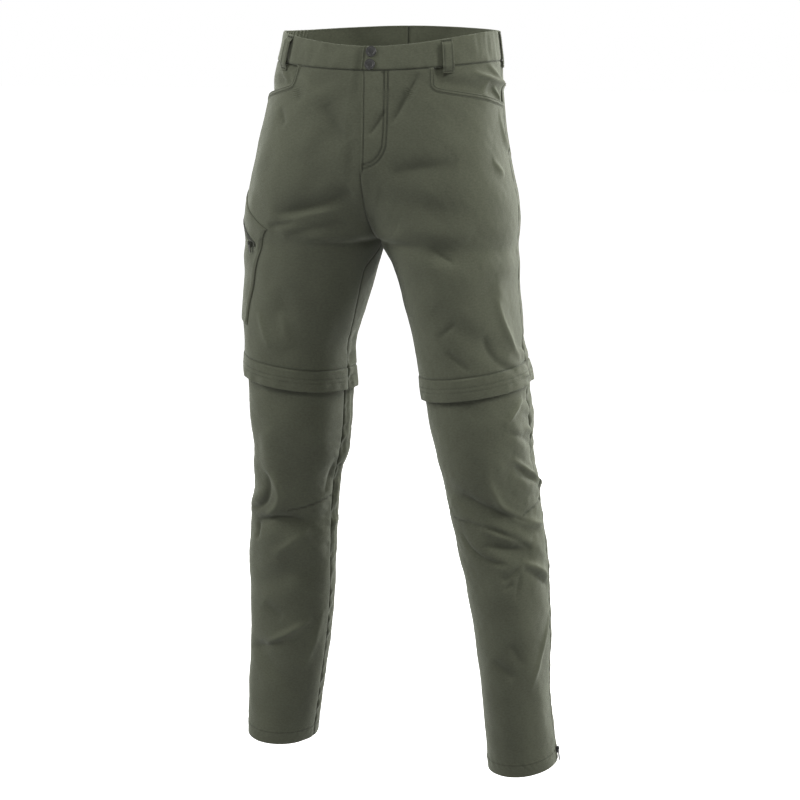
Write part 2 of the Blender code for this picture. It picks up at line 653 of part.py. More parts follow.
def add_lower_legs():
    for side in SIDES:
        for name, sign in (("lower_front_", 1), ("lower_back_", -1)):
            def edges(drop):
                ends = (sign * seam(side, drop), sign * inner_edge(side, drop))
                return min(ends), max(ends)

            around, drop = span(LOWER_DROPS, edges, PANEL_COLUMNS)
            thick = CLOTH + 2 * HEM_EXTRA * smooth_step(HEM_TOP - HEM_STEP, HEM_TOP, drop)
            add_wall(name + NAMES[side], side, around, drop, lower_height(drop), thick, OLIVE)


def add_ankle_zips():
    half = crowded(PANEL_COLUMNS)[1]
    drops = (*(row for row in LOWER_DROPS if HEM_DROP - ANKLE_ZIP_LENGTH < row < HEM_DROP), HEM_DROP - 1)
    for side in SIDES:
        around, drop = span(drops, lambda _: (-half, half), 3)
        top = -CLOTH - HEM_EXTRA - SEAM_GAP
        add_wall("ankle_zip_" + NAMES[side], side, around, drop, top, ZIP_THICK, TAPE)


def frame_on(side, around, drop, height):
    """A matrix that stands on the cloth: X runs round it, Y up it and Z straight out."""
    place = lay(side, around, drop, height) * MM
    out = Vector(form_normal(side, around, drop))
    up = Vector(form(side, around, drop - 4) - form(side, around, drop + 4))
    up = (up - out * up.dot(out)).normalized()
    matrix = Matrix((up.cross(out), up, out)).transposed().to_4x4()
    matrix.translation = Vector(place)
    return matrix


def add_snaps():
    for name, drop in (("upper", SNAP_DROPS[0]), ("lower", SNAP_DROPS[1])):
        mesh = bpy.data.meshes.new("snap_" + name)
        bm = bmesh.new()
        corners = [bm.verts.new((radius * MM, 0, z * MM)) for radius, z in SNAP_PROFILE]
        for above, below in zip(corners, corners[1:]):
            bm.edges.new((above, below))
        bm.to_mesh(mesh)
        bm.free()
        snap = add_object("snap_" + name, mesh, METAL, TROUSERS)
        turn = snap.modifiers.new("turn", "SCREW")
        turn.steps = turn.render_steps = SNAP_STEPS
        turn.use_merge_vertices = True
        turn.merge_threshold = 0.00001
        snap.matrix_world = frame_on(LEFT, 1.0, drop, WAISTBAND_PROUD + SEAM_GAP)


def add_block(name, size, centre, material, parent, bevel):
    """A block with rounded edges, placed in its parent's frame."""
    bm = bmesh.new()
    bmesh.ops.create_cube(bm, size=1)
    bmesh.ops.scale(bm, vec=Vector(size) * MM, verts=bm.verts)
    bmesh.ops.translate(bm, vec=Vector(centre) * MM, verts=bm.verts)
    bmesh.ops.bevel(bm, geom=bm.edges, offset=bevel * MM, segments=1, profile=0.5, affect="EDGES")
    mesh = bpy.data.meshes.new(name)
    bm.to_mesh(mesh)
    bm.free()
    return add_object(name, mesh, material, parent)


def add_slider(name, side, around, drop, height):
    """A slider on its zip, and its pull tab hanging from the hinge line at the slider's top."""
    stand = bpy.data.objects.new(name + "_seat", None)
    PARTS.objects.link(stand)
    stand.parent = TROUSERS
    stand.matrix_world = frame_on(side, around, drop, height)
    width, length, thick = SLIDER_SIZE
    add_block(name + "_slider", SLIDER_SIZE, (0, -length / 2, thick / 2), METAL, stand, 0.5)
    hinge = bpy.data.objects.new(name + "_hinge", None)
    PARTS.objects.link(hinge)
    hinge.parent = stand
    tab_width, tab_length, tab_thick = TAB_SIZE[name]
    hinge.location = (0, -2 * HINGE_INSET * MM, (thick + SEAM_GAP + tab_thick / 2) * MM)
    add_block(name + "_pull", TAB_SIZE[name], (0, HINGE_INSET - tab_length / 2, 0), METAL, hinge, 0.4)


for old in list(bpy.data.objects):
    bpy.data.objects.remove(old, do_unlink=True)
PARTS = bpy.data.collections.new("convertible_trousers")
bpy.context.scene.collection.children.link(PARTS)
TROUSERS = bpy.data.objects.new("trousers", None)
PARTS.objects.link(TROUSERS)
OLIVE = make_fabric("olive_cloth", (0.095, 0.102, 0.072))
TAPE = make_fabric("zip_tape", (0.014, 0.014, 0.013), 0.8)
METAL = make_fabric("dark_metal", (0.035, 0.035, 0.033), 0.45, 0.6)

add_fronts()
add_backs()
add_waistbands()
add_belt_loops()
add_front_pockets()
add_fly()
add_thigh_pocket()
add_knees()
add_lower_legs()
add_ankle_zips()
add_snaps()
add_slider("thigh_pocket", RIGHT, *THIGH_SLIDER_PLACE, THIGH_ZIP_TOP + SEAM_GAP)
for leg in SIDES:
    add_slider("ankle_" + NAMES[leg], leg, 0.0, ANKLE_SLIDER_DROP, HEM_EXTRA + SEAM_GAP)
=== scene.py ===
"""Convertible zip-off trousers in olive cloth, worn and hollow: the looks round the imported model.

Each piece of cloth is a thin shell on the model's own form, with the finer creases, puckered seams,
grooves and stitches added. Sizes are in millimetres; a place on the cloth is given as around (0 at the
side seam, 1 at the front centre or inseam, -1 at the back ones) and drop below the waist's edge.
"""

import math

import bmesh
import bpy
import numpy as np
from mathutils import Matrix, Vector


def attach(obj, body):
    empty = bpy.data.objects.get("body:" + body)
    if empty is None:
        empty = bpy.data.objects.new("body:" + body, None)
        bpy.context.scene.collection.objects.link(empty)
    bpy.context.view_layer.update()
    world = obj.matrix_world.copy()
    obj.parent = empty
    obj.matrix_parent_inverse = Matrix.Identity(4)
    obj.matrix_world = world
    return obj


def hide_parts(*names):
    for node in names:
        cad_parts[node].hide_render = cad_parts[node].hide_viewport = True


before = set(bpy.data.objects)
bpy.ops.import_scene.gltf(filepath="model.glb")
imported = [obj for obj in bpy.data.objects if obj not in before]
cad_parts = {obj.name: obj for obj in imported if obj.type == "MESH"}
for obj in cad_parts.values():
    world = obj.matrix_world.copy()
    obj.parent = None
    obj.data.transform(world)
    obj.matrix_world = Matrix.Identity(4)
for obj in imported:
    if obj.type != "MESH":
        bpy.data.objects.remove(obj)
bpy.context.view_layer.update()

MM = 0.001
RIGHT, LEFT = -1, 1
SIDES = (RIGHT, LEFT)
NAMES = {RIGHT: "right", LEFT: "left"}
BODY = "trousers"

# Lengths down the garment
WAISTBAND_HEIGHT = 40.0
CROTCH_DROP = 288.0
FLAP_TOP = 466.0
FLAP_HEIGHT = 31.0
FLAP_END = FLAP_TOP + FLAP_HEIGHT
THIGH_END = 482.0
KNEE_ZIP_TOP = 475.0
LOWER_TOP = 484.0
HEM_DROP = 1050.0
HEM_HEIGHT = 20.0
FRONT_DIP = 20.0
BACK_RISE = 7.0
DIP_FADE = 170.0

# Cloth and what lies on it
SEAM_GAP = 0.3
CLOTH = 1.1
CAD_CLOTH = 1.6
WAISTBAND_THICK = 2.0
WAISTBAND_PROUD = 0.5
PATCH_THICK = 1.2
PATCH_TOP = 2.2
ZIP_THICK = 0.7
LOWER_TUCK = 3.8
FRONT_LAP = 10.0
UNDER_LAP = 6.0
LAP_END = 186.0
TAB_LAP = 11.0
GATHERED_LENGTH = 60.0
SEAM_DIP = 1.0
SEAM_REACH = 1.7
SEAM_TUCK = 0.6
NORMAL_REACH = 2.0
RIM_ROUND = 0.3
STEP = 2.6

# One unit of around in millimetres, roughly, where a line is only spaced by it
FLY_QUARTER, MOUTH_QUARTER = 200.0, 270.0

# Pockets, zips and fastenings
MOUTH_SHARE = {RIGHT: 0.5, LEFT: 0.6}
MOUTH_DROP = 98.0
MOUTH_CORNER_DROP = 69.0
EDGE_WIDTH = 7.0
EDGE_STITCHES = (1.5, 5.2)
MOUTH_BACKING = 11.0
FACING_SAG = 3.0
LOOP_TOP, LOOP_END = 1.0, 50.0
LOOP_WIDTH, LOOP_THICK, LOOP_GAP = 15.0, 1.2, 2.8
LOOP_FLAT = 0.1
LOOP_STITCH, LOOP_TACK = 2.4, 2.5
SIDE_LOOP_CLEAR = 0.7
THREAD_SINK = 0.15
BELT_LOOPS = (
    ("front_right", RIGHT, 0.36),
    ("front_left", LEFT, 0.51),
    ("side_right", RIGHT, -0.05),
    ("side_left", LEFT, -0.05),
    ("back", LEFT, -1.0),
)
FLY_STITCH = (
    (0.886, 40.5), (0.871, 86), (0.865, 128), (0.867, 149), (0.89, 165), (0.93, 175.5), (0.99, 181.5),
)
# How far the left front's folded edge lies past the centre, at each drop
LAP_DROPS = (40, 62, 85, 107, 129, 156, 172, 186, 187)
LAPS = (10, 7, 4.4, 2.2, 0.4, -1, -0.8, 0, 0)
FLY_ZIP_WIDTH = 20.0
INSEAM_SHIFT = 0.1
THIGH_POCKET = ((-0.2, 180), (0.465, 270), (0.305, 419))
THIGH_POCKET_BOW = 0.04
THIGH_ZIP = ((-0.12, 232), (0.335, 294))
THIGH_ZIP_WIDTH = 8.0
THIGH_ZIP_TOP = 3.6
THIGH_SLIDER_PLACE = (0.3, 289)
ANKLE_ZIP_LENGTH, ANKLE_ZIP_WIDTH = 145.0, 12.0
ANKLE_SLIDER_DROP = 1029.0
SLIDER_SIZE = (6.0, 9.0, 1.8)
TAB_LENGTH = {"thigh_pocket": 15.0, "ankle_right": 20.0, "ankle_left": 20.0}
TAB_WIDTH, TAB_THICK = 5.0, 1.3
HINGE_INSET = 0.6
SNAP_DROPS = (9.5, 30.5)
SNAP_RADIUS = 7.2

# The largest folds, close to the model's, and the finer creases over them, each along a line that bow bends
FOLD_COLUMNS = ("side", "around", "drop", "to_around", "to_drop", "bow", "width", "rise")
FOLD_END_POWER = 0.7
FOLDS = (
    (RIGHT, 0.95, 214, 0.50, 250, 6, 15, -5),
    (RIGHT, 0.86, 280, 0.52, 262, 4, 13, 3),
    (RIGHT, 0.52, 352, 0.62, 452, 4, 15, -3),
    (RIGHT, 0.72, 330, 0.80, 430, -4, 15, 2),
    (RIGHT, 0.45, 560, 0.58, 650, -10, 15, 4),
    (RIGHT, 0.58, 645, 0.18, 690, 4, 14, 4),
    (RIGHT, 0.22, 728, 0.96, 700, 12, 15, -5),
    (RIGHT, 0.20, 826, 0.95, 764, 8, 16, -3),
    (RIGHT, 0.25, 890, 0.80, 985, 6, 16, -3),
    (RIGHT, -0.85, 262, -0.25, 300, 8, 15, -4),
    (RIGHT, -0.80, 545, -0.15, 580, 8, 14, -4),
    (RIGHT, -0.85, 640, -0.20, 615, 6, 14, -4),
    (RIGHT, -0.30, 700, -0.75, 745, 6, 16, 3),
    (RIGHT, -0.80, 900, -0.20, 950, 8, 16, -3),
    (LEFT, 0.92, 216, 0.38, 240, 6, 15, -2.8),
    (LEFT, 0.80, 262, 0.40, 272, 4, 13, 3),
    (LEFT, 0.76, 272, 0.36, 316, 5, 14, -2.4),
    (LEFT, 0.60, 366, 0.24, 452, 4, 14, -3),
    (LEFT, 0.26, 336, 0.16, 446, 4, 13, 3),
    (LEFT, 0.25, 520, 0.08, 612, 6, 15, 3),
    (LEFT, 0.78, 618, 0.06, 708, 5, 14, -5),
    (LEFT, 0.30, 612, -0.10, 652, 4, 14, 4),
    (LEFT, 0.64, 662, 0.12, 748, 8, 14, -4),
    (LEFT, 0.42, 730, 0.16, 1010, 6, 18, 3),
    (LEFT, -0.85, 258, -0.25, 304, 8, 15, -4),
    (LEFT, -0.85, 540, -0.20, 575, 8, 14, -4),
    (LEFT, -0.80, 645, -0.15, 608, 6, 14, -4),
    (LEFT, -0.35, 705, -0.75, 760, 6, 16, 3),
    (LEFT, -0.75, 880, -0.20, 935, 8, 16, -3),
)
CREASE_POWER = 1.4
CREASES = (
    # Right hip and pocket mouth
    (RIGHT, 0.53, 69, 0.60, 92, 0, 3.6, -2.5),
    (RIGHT, 0.54, 48, 0.79, 96, 0, 7, 2),
    (RIGHT, 0.45, 102, 0.53, 125, 0, 4.5, -3),
    (RIGHT, 0.71, 81, 0.94, 145, 0, 12, -3),
    (RIGHT, 0.34, 48, 0.43, 66, 0, 2.7, 2.5),
    (RIGHT, 0.43, 48, 0.49, 66, 0, 2.7, 2.5),
    # Fly and left hip
    (LEFT, 0.96, 137, 0.88, 100, 0, 3.6, -3),
    (LEFT, 0.84, 120, 0.70, 46, 0, 4.5, -3.9),
    (LEFT, 0.35, 51, -0.11, 76, 2, 3.6, 4.9),
    (LEFT, 0.21, 42, -0.10, 76, 5, 2.7, 3.9),
    (LEFT, 0.14, 74, 0.03, 93, 0, 2.7, 3.6),
    (LEFT, 0.20, 66, 0.26, 86, 0, 3.6, 2.5),
    (LEFT, 0.10, 106, -0.10, 170, 14, 4.5, 3.5),
    (LEFT, 0.23, 172, 0.14, 194, 0, 3.6, 3),
    (LEFT, 0.84, 186, 0.48, 172, 0, 11, -4.9),
    # Right thigh
    (RIGHT, 0.95, 214, 0.52, 246, 6, 5.4, -3),
    (RIGHT, 0.47, 266, 0.63, 257, 0, 4.5, -3.9),
    (RIGHT, 0.56, 276, 0.88, 257, 0, 8, -3.6),
    (RIGHT, 0.54, 259, 0.92, 236, 2, 5, 2.6),
    (RIGHT, 0.40, 392, 0.49, 440, 0, 4.5, 2.5),
    (RIGHT, 0.54, 386, 0.60, 436, 0, 7, 2.5),
    # Left thigh
    (LEFT, 0.62, 286, 0.49, 308, 0, 3.6, -2.5),
    (LEFT, 0.60, 410, 0.50, 390, 0, 4.5, -2.5),
    (LEFT, 0.56, 427, 0.45, 458, 0, 3.6, -3),
    (LEFT, 0.27, 360, 0.09, 458, 11, 4.5, 4.9),
    (LEFT, 0.36, 412, 0.16, 470, 12, 5.4, -4.9),
    # Left lower leg, from under the flap to the calf
    (LEFT, 0.11, 510, 0.29, 540, 0, 3.6, 4.9),
    (LEFT, 0.28, 550, 0.03, 579, 0, 4.5, -3.6),
    (LEFT, 0.26, 588, -0.09, 650, 1, 3.6, 6.2),
    (LEFT, 0.24, 600, 0.01, 645, 0, 5.4, -4.9),
    (LEFT, 0.42, 590, 0.03, 696, 34, 5.4, 4.4),
    (LEFT, 0.42, 644, 0.03, 696, 6, 4.5, 3.9),
    (LEFT, 0.64, 630, 0.20, 684, 1, 5.4, -5.5),
    (LEFT, 0.66, 670, 0.21, 722, -7, 3.6, -4.8),
    (LEFT, 0.60, 668, 0.21, 712, 5, 3.6, 3.2),
    (LEFT, 0.56, 703, 0.21, 722, 2, 5.4, -5.5),
    (LEFT, 0.73, 687, 0.41, 735, 10, 3.6, -4.4),
    (LEFT, 0.31, 734, 0.03, 774, -2, 4.5, 4.9),
    (LEFT, 0.31, 744, 0.04, 784, 0, 4.5, -4.9),
    (LEFT, 0.47, 757, 0.32, 741, 0, 3.6, -3.6),
    (LEFT, 0.47, 770, 0.39, 760, 0, 2.7, -2.5),
    (LEFT, 0.39, 786, 0.33, 748, 0, 2.7, -2.5),
    (LEFT, 0.01, 825, 0.30, 925, 8, 4.5, 3.6),
    (LEFT, 0.60, 872, 0.44, 901, 0, 7, -3.6),
    (LEFT, 0.46, 848, 0.37, 883, 0, 8, -2.5),
    # Right lower leg
    (RIGHT, 0.46, 626, 0.31, 690, 18, 7, -8.5),
    (RIGHT, 0.50, 626, 0.43, 697, 19, 5.4, 5.5),
    (RIGHT, 0.33, 711, 0.78, 702, 12, 5.4, -6.4),
    (RIGHT, 0.35, 708, 0.36, 736, 0, 4.5, -4.4),
    (RIGHT, 0.78, 708, 0.51, 754, 0, 8, 3.6),
    (RIGHT, 0.42, 830, 0.58, 850, 0, 9, -3.6),
    (RIGHT, 0.42, 897, 0.82, 850, 0, 5.4, 4.9),
    (RIGHT, 0.21, 914, 0.62, 886, 0, 7, -4.9),
    (RIGHT, 0.92, 840, 0.78, 935, 0, 8, 3),
    (RIGHT, 0.95, 610, 0.90, 660, 0, 4.5, -2.5),
    # Cloth that bulges behind the outer seam of the left leg and the inseam of the right one
    (LEFT, 0.0, 430, 0.0, 660, 0, 5, -2.6),
    (LEFT, -0.13, 430, -0.12, 570, 4, 10, 4),
    (LEFT, -0.12, 530, -0.13, 660, 3, 9, 3),
    (RIGHT, -0.92, 400, -0.9, 620, 4, 11, 6),
    (RIGHT, -0.9, 560, -0.92, 780, -3, 8, 4),
    (RIGHT, -0.955, 470, -0.95, 640, 2, 3, 2.4),
    (RIGHT, -0.95, 620, -0.96, 790, -2, 3, 2.2),
    # Seat, backs of the knees and calves
    (RIGHT, -0.95, 205, -0.45, 240, 8, 7, -3.9),
    (RIGHT, -0.90, 276, -0.35, 322, 10, 5.4, -3.9),
    (RIGHT, -0.70, 300, -0.30, 352, 6, 7, 3),
    (RIGHT, -0.55, 420, -0.15, 446, 4, 5.4, -3.5),
    (RIGHT, -0.75, 430, -0.50, 455, 4, 5.4, 2.5),
    (RIGHT, -0.90, 560, -0.30, 596, 6, 4.5, -4.4),
    (RIGHT, -0.70, 604, -0.15, 590, -5, 4.5, 3.6),
    (RIGHT, -0.90, 655, -0.35, 628, 5, 4.5, -4.9),
    (RIGHT, -0.60, 668, -0.20, 704, 6, 5.4, -3.5),
    (RIGHT, -0.85, 720, -0.45, 700, 4, 5.4, 3),
    (RIGHT, -0.30, 820, -0.70, 870, 8, 8, -3.5),
    (RIGHT, -0.55, 930, -0.20, 985, 6, 8, 3),
    (LEFT, -0.95, 210, -0.40, 236, 8, 7, -3.9),
    (LEFT, -0.92, 272, -0.40, 316, 9, 5.4, -3.9),
    (LEFT, -0.72, 306, -0.28, 348, 6, 7, 3),
    (LEFT, -0.60, 414, -0.20, 450, 5, 5.4, -3.5),
    (LEFT, -0.88, 556, -0.32, 590, 6, 4.5, -4.4),
    (LEFT, -0.65, 600, -0.12, 582, -5, 4.5, 3.6),
    (LEFT, -0.88, 662, -0.30, 626, 5, 4.5, -4.9),
    (LEFT, -0.55, 660, -0.16, 706, 6, 5.4, -3.5),
    (LEFT, -0.82, 730, -0.40, 700, 4, 5.4, 3),
    (LEFT, -0.28, 812, -0.72, 856, 8, 8, -3.5),
    (LEFT, -0.60, 920, -0.18, 980, 6, 8, 3),
)
# Knee darts: short seams, each from one place to another
DARTS = {
    RIGHT: (((0.62, 681), (0.97, 666)), ((0.03, 668), (0.20, 676))),
    LEFT: (((0.97, 659), (0.66, 670)), ((0.0, 660), (0.24, 671))),
}
# Where the sewing pulls the cloth into puckers, from one drop to another: along the side seam (0) or the
# inseam (1), on its front (1) or back (-1)
PUCKER_COLUMNS = ("side", "seam", "toward", "drop", "to_drop", "reach", "size", "wave")
PUCKERS = (
    (LEFT, 0, 1, 425, 655, 12, 1.6, 19),
    (LEFT, 0, -1, 415, 640, 12, 2.0, 21),
    (LEFT, 0, 1, 640, 1046, 7, 0.5, 15),
    (LEFT, 0, -1, 640, 1046, 8, 0.9, 17),
    (LEFT, 0, -1, 100, 430, 6, 0.6, 14),
    (RIGHT, 0, 1, 430, 1046, 7, 0.4, 14),
    (RIGHT, 0, -1, 430, 1046, 8, 0.8, 16),
    (RIGHT, 0, -1, 60, 200, 5, 0.4, 12),
    (RIGHT, 1, -1, 380, 800, 9, 2.0, 37),
    (RIGHT, 1, -1, 400, 780, 5, 1.0, 15),
    (RIGHT, 1, 1, 500, 760, 7, 0.7, 17),
    (RIGHT, 1, -1, 780, 1046, 9, 1.4, 19),
    (RIGHT, 1, 1, 300, 470, 6, 0.5, 17),
    (LEFT, 1, 1, 300, 1046, 6, 0.5, 17),
    (LEFT, 1, -1, 300, 1046, 7, 0.9, 19),
)

# The form, one half of it, as a section at each drop. width runs from the centre or inseam out to the
# side seam; side, front, back and the forks are distances behind the section's middle; peak is where
# it is fullest, as a share of the width, and full the same place as a share of the way round; crease
# is 1 where the leg has turned in to the centre seam; sway is how far it has moved to the right.
SECTION_COLUMNS = (
    "drop", "width", "side", "front", "back", "fork_front", "fork_back", "peak", "full", "crease", "sway",
)
SECTIONS = (
    (0, 150, 0, -101, 108, -102, 108, 0.22, 0.84, 0.0, 0),
    (40, 157, 0, -107, 113, -108, 112, 0.24, 0.83, 0.0, 2),
    (100, 167, 2, -113, 126, -115, 123, 0.32, 0.78, 0.0, 8),
    (160, 178, 3, -117, 137, -119, 131, 0.38, 0.74, 0.0, 12),
    (200, 187, 4, -116, 140, -113, 128, 0.42, 0.7, 0.1, 13),
    (235, 194, 5, -112, 138, -96, 112, 0.45, 0.67, 0.4, 13),
    (262, 196, 5, -108, 132, -70, 84, 0.47, 0.64, 0.75, 13),
    (280, 195, 6, -104, 126, -32, 46, 0.48, 0.62, 1.0, 13),
    (288, 194, 6, -102, 122, 9, 9, 0.49, 0.61, 1.0, 13),
    (320, 186, 6, -99, 114, 9, 9, 0.49, 0.575, 1.0, 13),
    (350, 175, 6, -95, 106, 8, 8, 0.5, 0.555, 1.0, 13),
    (383, 167, 6, -92, 100, 7, 7, 0.5, 0.535, 1.0, 13),
    (412, 159, 5, -89, 95, 6, 6, 0.5, 0.52, 1.0, 13),
    (441, 153, 5, -87, 92, 6, 6, 0.5, 0.51, 1.0, 13),
    (480, 154, 4, -85, 88, 5, 5, 0.5, 0.5, 1.0, 13),
    (530, 149, 4, -84, 85, 4, 4, 0.5, 0.5, 1.0, 13),
    (600, 132, 4, -77, 78, 3, 3, 0.5, 0.5, 1.0, 13),
    (654, 124, 4, -71, 75, 3, 3, 0.5, 0.5, 1.0, 13),
    (750, 124, 4, -65, 73, 3, 3, 0.5, 0.5, 1.0, 13),
    (860, 117, 3, -60, 69, 3, 3, 0.5, 0.5, 1.0, 13),
    (930, 110, 2, -58, 64, 3, 3, 0.5, 0.5, 1.0, 13),
    (1050, 102, 2, -58, 60, 3, 3, 0.5, 0.5, 1.0, 13),
)
# Where each leg stands: how far its inseam is from the centre seam, pressed wider, ahead, and in degrees
# how far its front turns outwards and how far it leans out
STANCE_COLUMNS = ("drop", "inner", "wider", "ahead", "turn", "lean")
STANCE = {
    RIGHT: (
        (0, 0.15, 0, 0, 0, 0),
        (220, 0.15, 0, 0, 0, 0),
        (288, 0.15, 4, 0, 0, 0),
        (320, 9, 6, 0, 2, 2),
        (383, 29, 8, 0, 6, 6),
        (441, 49, 2, 0, 8, 8),
        (500, 50, 0, 0, 10, 8),
        (545, 53, 0, 0, 11, 7),
        (600, 62, -2, -3, 12, 5),
        (654, 73, -5, -4, 12, 3),
        (720, 76, 2, -3, 12, 3),
        (800, 77, 9, -2, 12, 2),
        (880, 83, 9, -1, 12, 2),
        (960, 94, 8, 0, 12, 2),
        (1050, 107, 1, 2, 12, 2),
    ),
    LEFT: (
        (0, 0.15, 0, 0, 0, 0),
        (220, 0.15, 0, 0, 0, 0),
        (288, 0.15, 0, 0, 0, 0),
        (317, 18, -9, 2, 0, 2),
        (373, 38, -8, 7, 0, 6),
        (429, 53, -2, 13, 0, 8),
        (500, 66, -1, 17, 0, 9),
        (545, 77, -1, 19, 0, 9),
        (600, 93, -2, 21, 0, 9),
        (640, 102, 5, 22, 0, 9),
        (720, 120, 2, 24, 0, 9),
        (800, 138, -7, 25, 0, 8),
        (860, 148, -9, 26, 0, 8),
        (930, 157, -11, 27, 0, 7),
        (1050, 169, -1, 28, 0, 7),
    ),
}
ROUND_OFF = 0.56
ARC_POINTS = 90

# Camera: the photograph's, fitted to the outline
VIEW_TURN = 14.0
VIEW_PITCH = 12.3
VIEW_DISTANCE = 2.40
VIEW_ASIDE = 0.013
VIEW_FOCAL_PIXELS = 1695.0
PICTURE = 800
SENSOR = 36.0


# Form of the filled-out garment
def places(*values):
    """The values as arrays of one shape."""
    return np.broadcast_arrays(*(np.asarray(value, float) for value in values))


def unit(vectors):
    return vectors / np.linalg.norm(vectors, axis=-1, keepdims=True)


def run_length(points):
    """Length along a line of points, up to each of them."""
    return np.concatenate([[0], np.cumsum(np.linalg.norm(np.diff(points, axis=0), axis=1))])


def smooth_curve(xs, ys, at):
    """Heights at these places on a smooth curve through the points, with no overshoot."""
    steps = np.diff(ys) / np.diff(xs)
    before, after = steps[:-1], steps[1:]
    turns = np.divide(2 * before * after, before + after, out=np.zeros(len(before)), where=before * after > 0)
    slopes = np.concatenate([steps[:1], turns, steps[-1:]])
    i = np.clip(np.searchsorted(xs, at, side="right") - 1, 0, len(xs) - 2)
    step = xs[i + 1] - xs[i]
    t = (at - xs[i]) / step
    return (
        (1 + 2 * t) * (1 - t) ** 2 * ys[i] + t * t * (3 - 2 * t) * ys[i + 1]
        + t * (1 - t) ** 2 * step * slopes[i] + t * t * (t - 1) * step * slopes[i + 1]
    )


def smooth_table(columns, rows):
    """The table's columns by name, at each drop of the grid."""
    table = np.array(rows, float)
    made = [smooth_curve(table[:, 0], column, GRID_DROPS) for column in table.T[1:]]
    return [dict(zip(columns[1:], values)) for values in zip(*made)]


def arc(start, start_handle, end_handle, end, count=ARC_POINTS):
    """Points along one Bezier arc."""
    t = np.linspace(0, 1, count)[:, None]
    return (
        (1 - t) ** 3 * np.array(start) + 3 * t * (1 - t) ** 2 * np.array(start_handle)
        + 3 * t * t * (1 - t) * np.array(end_handle) + t ** 3 * np.array(end)
    )


def half_outline(section, stance, front):
    """The form's front or back half at one drop, from the side seam in: points, shares and length."""
    wider = stance["wider"]
    width = section["width"] + wider
    depth = section["front"] + wider / 2 if front else section["back"] - wider / 2
    fork = section["fork_front"] if front else section["fork_back"]
    peak_x = section["peak"] * width
    peak = (peak_x, depth)
    outer_arc = arc(
        (width, section["side"]), (width, section["side"] + ROUND_OFF * (depth - section["side"])),
        (peak_x + ROUND_OFF * (width - peak_x), depth), peak,
    )
    smooth = (1 - section["crease"]) * ROUND_OFF * peak_x
    creased = section["crease"] * ROUND_OFF * (depth - fork)
    inner_arc = arc(peak, (peak_x * (1 - ROUND_OFF), depth), (smooth, fork + creased), (0.0, fork))
    points = np.vstack([outer_arc, inner_arc[1:]])
    length = run_length(points)
    to_peak = length[len(outer_arc) - 1]
    outer_share = section["full"] * length / to_peak
    inner_share = section["full"] + (1 - section["full"]) * (length - to_peak) / (length[-1] - to_peak)
    return points, np.where(length <= to_peak, outer_share, inner_share), length[-1]


def form_row(side, drop, section, stance):
    """The bare form's points at one drop, for every around of the grid, and the mean half girth."""
    turn = math.radians(stance["turn"])
    lean = math.tan(math.radians(stance["lean"]))
    half_width = (section["width"] + stance["wider"]) / 2
    row = np.empty((len(GRID_AROUNDS), 3))
    girths = []
    for front in (False, True):
        points, shares, length = half_outline(section, stance, front)
        girths.append(length)
        chosen = GRID_AROUNDS >= 0 if front else GRID_AROUNDS < 0
        around = np.abs(GRID_AROUNDS[chosen])
        p, q = np.interp(around, shares, points[:, 0]), np.interp(around, shares, points[:, 1])
        across = (p - half_width) * math.cos(turn) - q * math.sin(turn)
        behind = (p - half_width) * math.sin(turn) + q * math.cos(turn)
        ease = (1 - np.cos(math.pi * around)) / 2
        dip = (-FRONT_DIP if front else BACK_RISE) * ease * max(0.0, 1 - drop / DIP_FADE) ** 2
        row[chosen] = np.stack([
            side * (stance["inner"] + half_width + across) - section["sway"],
            behind - stance["ahead"],
            -drop + dip + across * lean,
        ], axis=1)
    return row, sum(girths) / 2


GRID_STEP = 2.0
GRID_PER_UNIT = 240
GRID_DROPS = np.arange(0.0, HEM_DROP + GRID_STEP / 4, GRID_STEP)
GRID_AROUNDS = np.linspace(-1, 1, 2 * GRID_PER_UNIT + 1)
FORM, QUARTERS = {}, {}
sections = smooth_table(SECTION_COLUMNS, SECTIONS)
for leg in SIDES:
    stances = smooth_table(STANCE_COLUMNS, STANCE[leg])
    made = [form_row(leg, *row) for row in zip(GRID_DROPS, sections, stances)]
    FORM[leg], QUARTERS[leg] = (np.array(part) for part in zip(*made))


def quarter(side, drop):
    """Millimetres round the form for one unit of around."""
    return np.interp(drop, GRID_DROPS, QUARTERS[side])


def read_form(side, around, drop):
    """Points of one side's form, read between its grid points."""
    row = np.clip(drop / GRID_STEP, 0, len(GRID_DROPS) - 1.001)
    column = np.clip((around + 1) * GRID_PER_UNIT, 0, len(GRID_AROUNDS) - 1.001)
    r, c = row.astype(int), column.astype(int)
    below, beside = (row - r)[..., None], (column - c)[..., None]
    table = FORM[side]
    upper = table[r, c] * (1 - beside) + table[r, c + 1] * beside
    lower = table[r + 1, c] * (1 - beside) + table[r + 1, c + 1] * beside
    return upper * (1 - below) + lower * below


def form(side, around, drop):
    """Points of the form. Past a centre seam lies the other half, and past an inseam the same leg goes on."""
    around, drop = places(around, drop)
    past = np.abs(around) > 1
    turned_back = np.where(past, np.sign(around) * (2 - np.abs(around)), around)
    on_leg = drop >= CROTCH_DROP
    own = read_form(side, np.where(past & on_leg, -turned_back, turned_back), drop)
    return np.where((past & ~on_leg)[..., None], read_form(-side, turned_back, drop), own)


def form_normal(side, around, drop):
    """Directions straight out of the form."""
    drop = np.asarray(drop, float)
    steps = NORMAL_REACH / quarter(side, drop)
    round_it = form(side, around + steps, drop) - form(side, around - steps, drop)
    below, above = np.minimum(drop + NORMAL_REACH, HEM_DROP), np.maximum(drop - NORMAL_REACH, 0)
    return unit(np.cross(form(side, around, below) - form(side, around, above), round_it) * -side)


# Folds, creases and puckers over the form
def same_leg(around, drop):
    """The same place with around from -1 to 1, for one that runs on past an inseam."""
    return np.where((np.abs(around) > 1) & (drop >= CROTCH_DROP), around - 2 * np.sign(around), around)


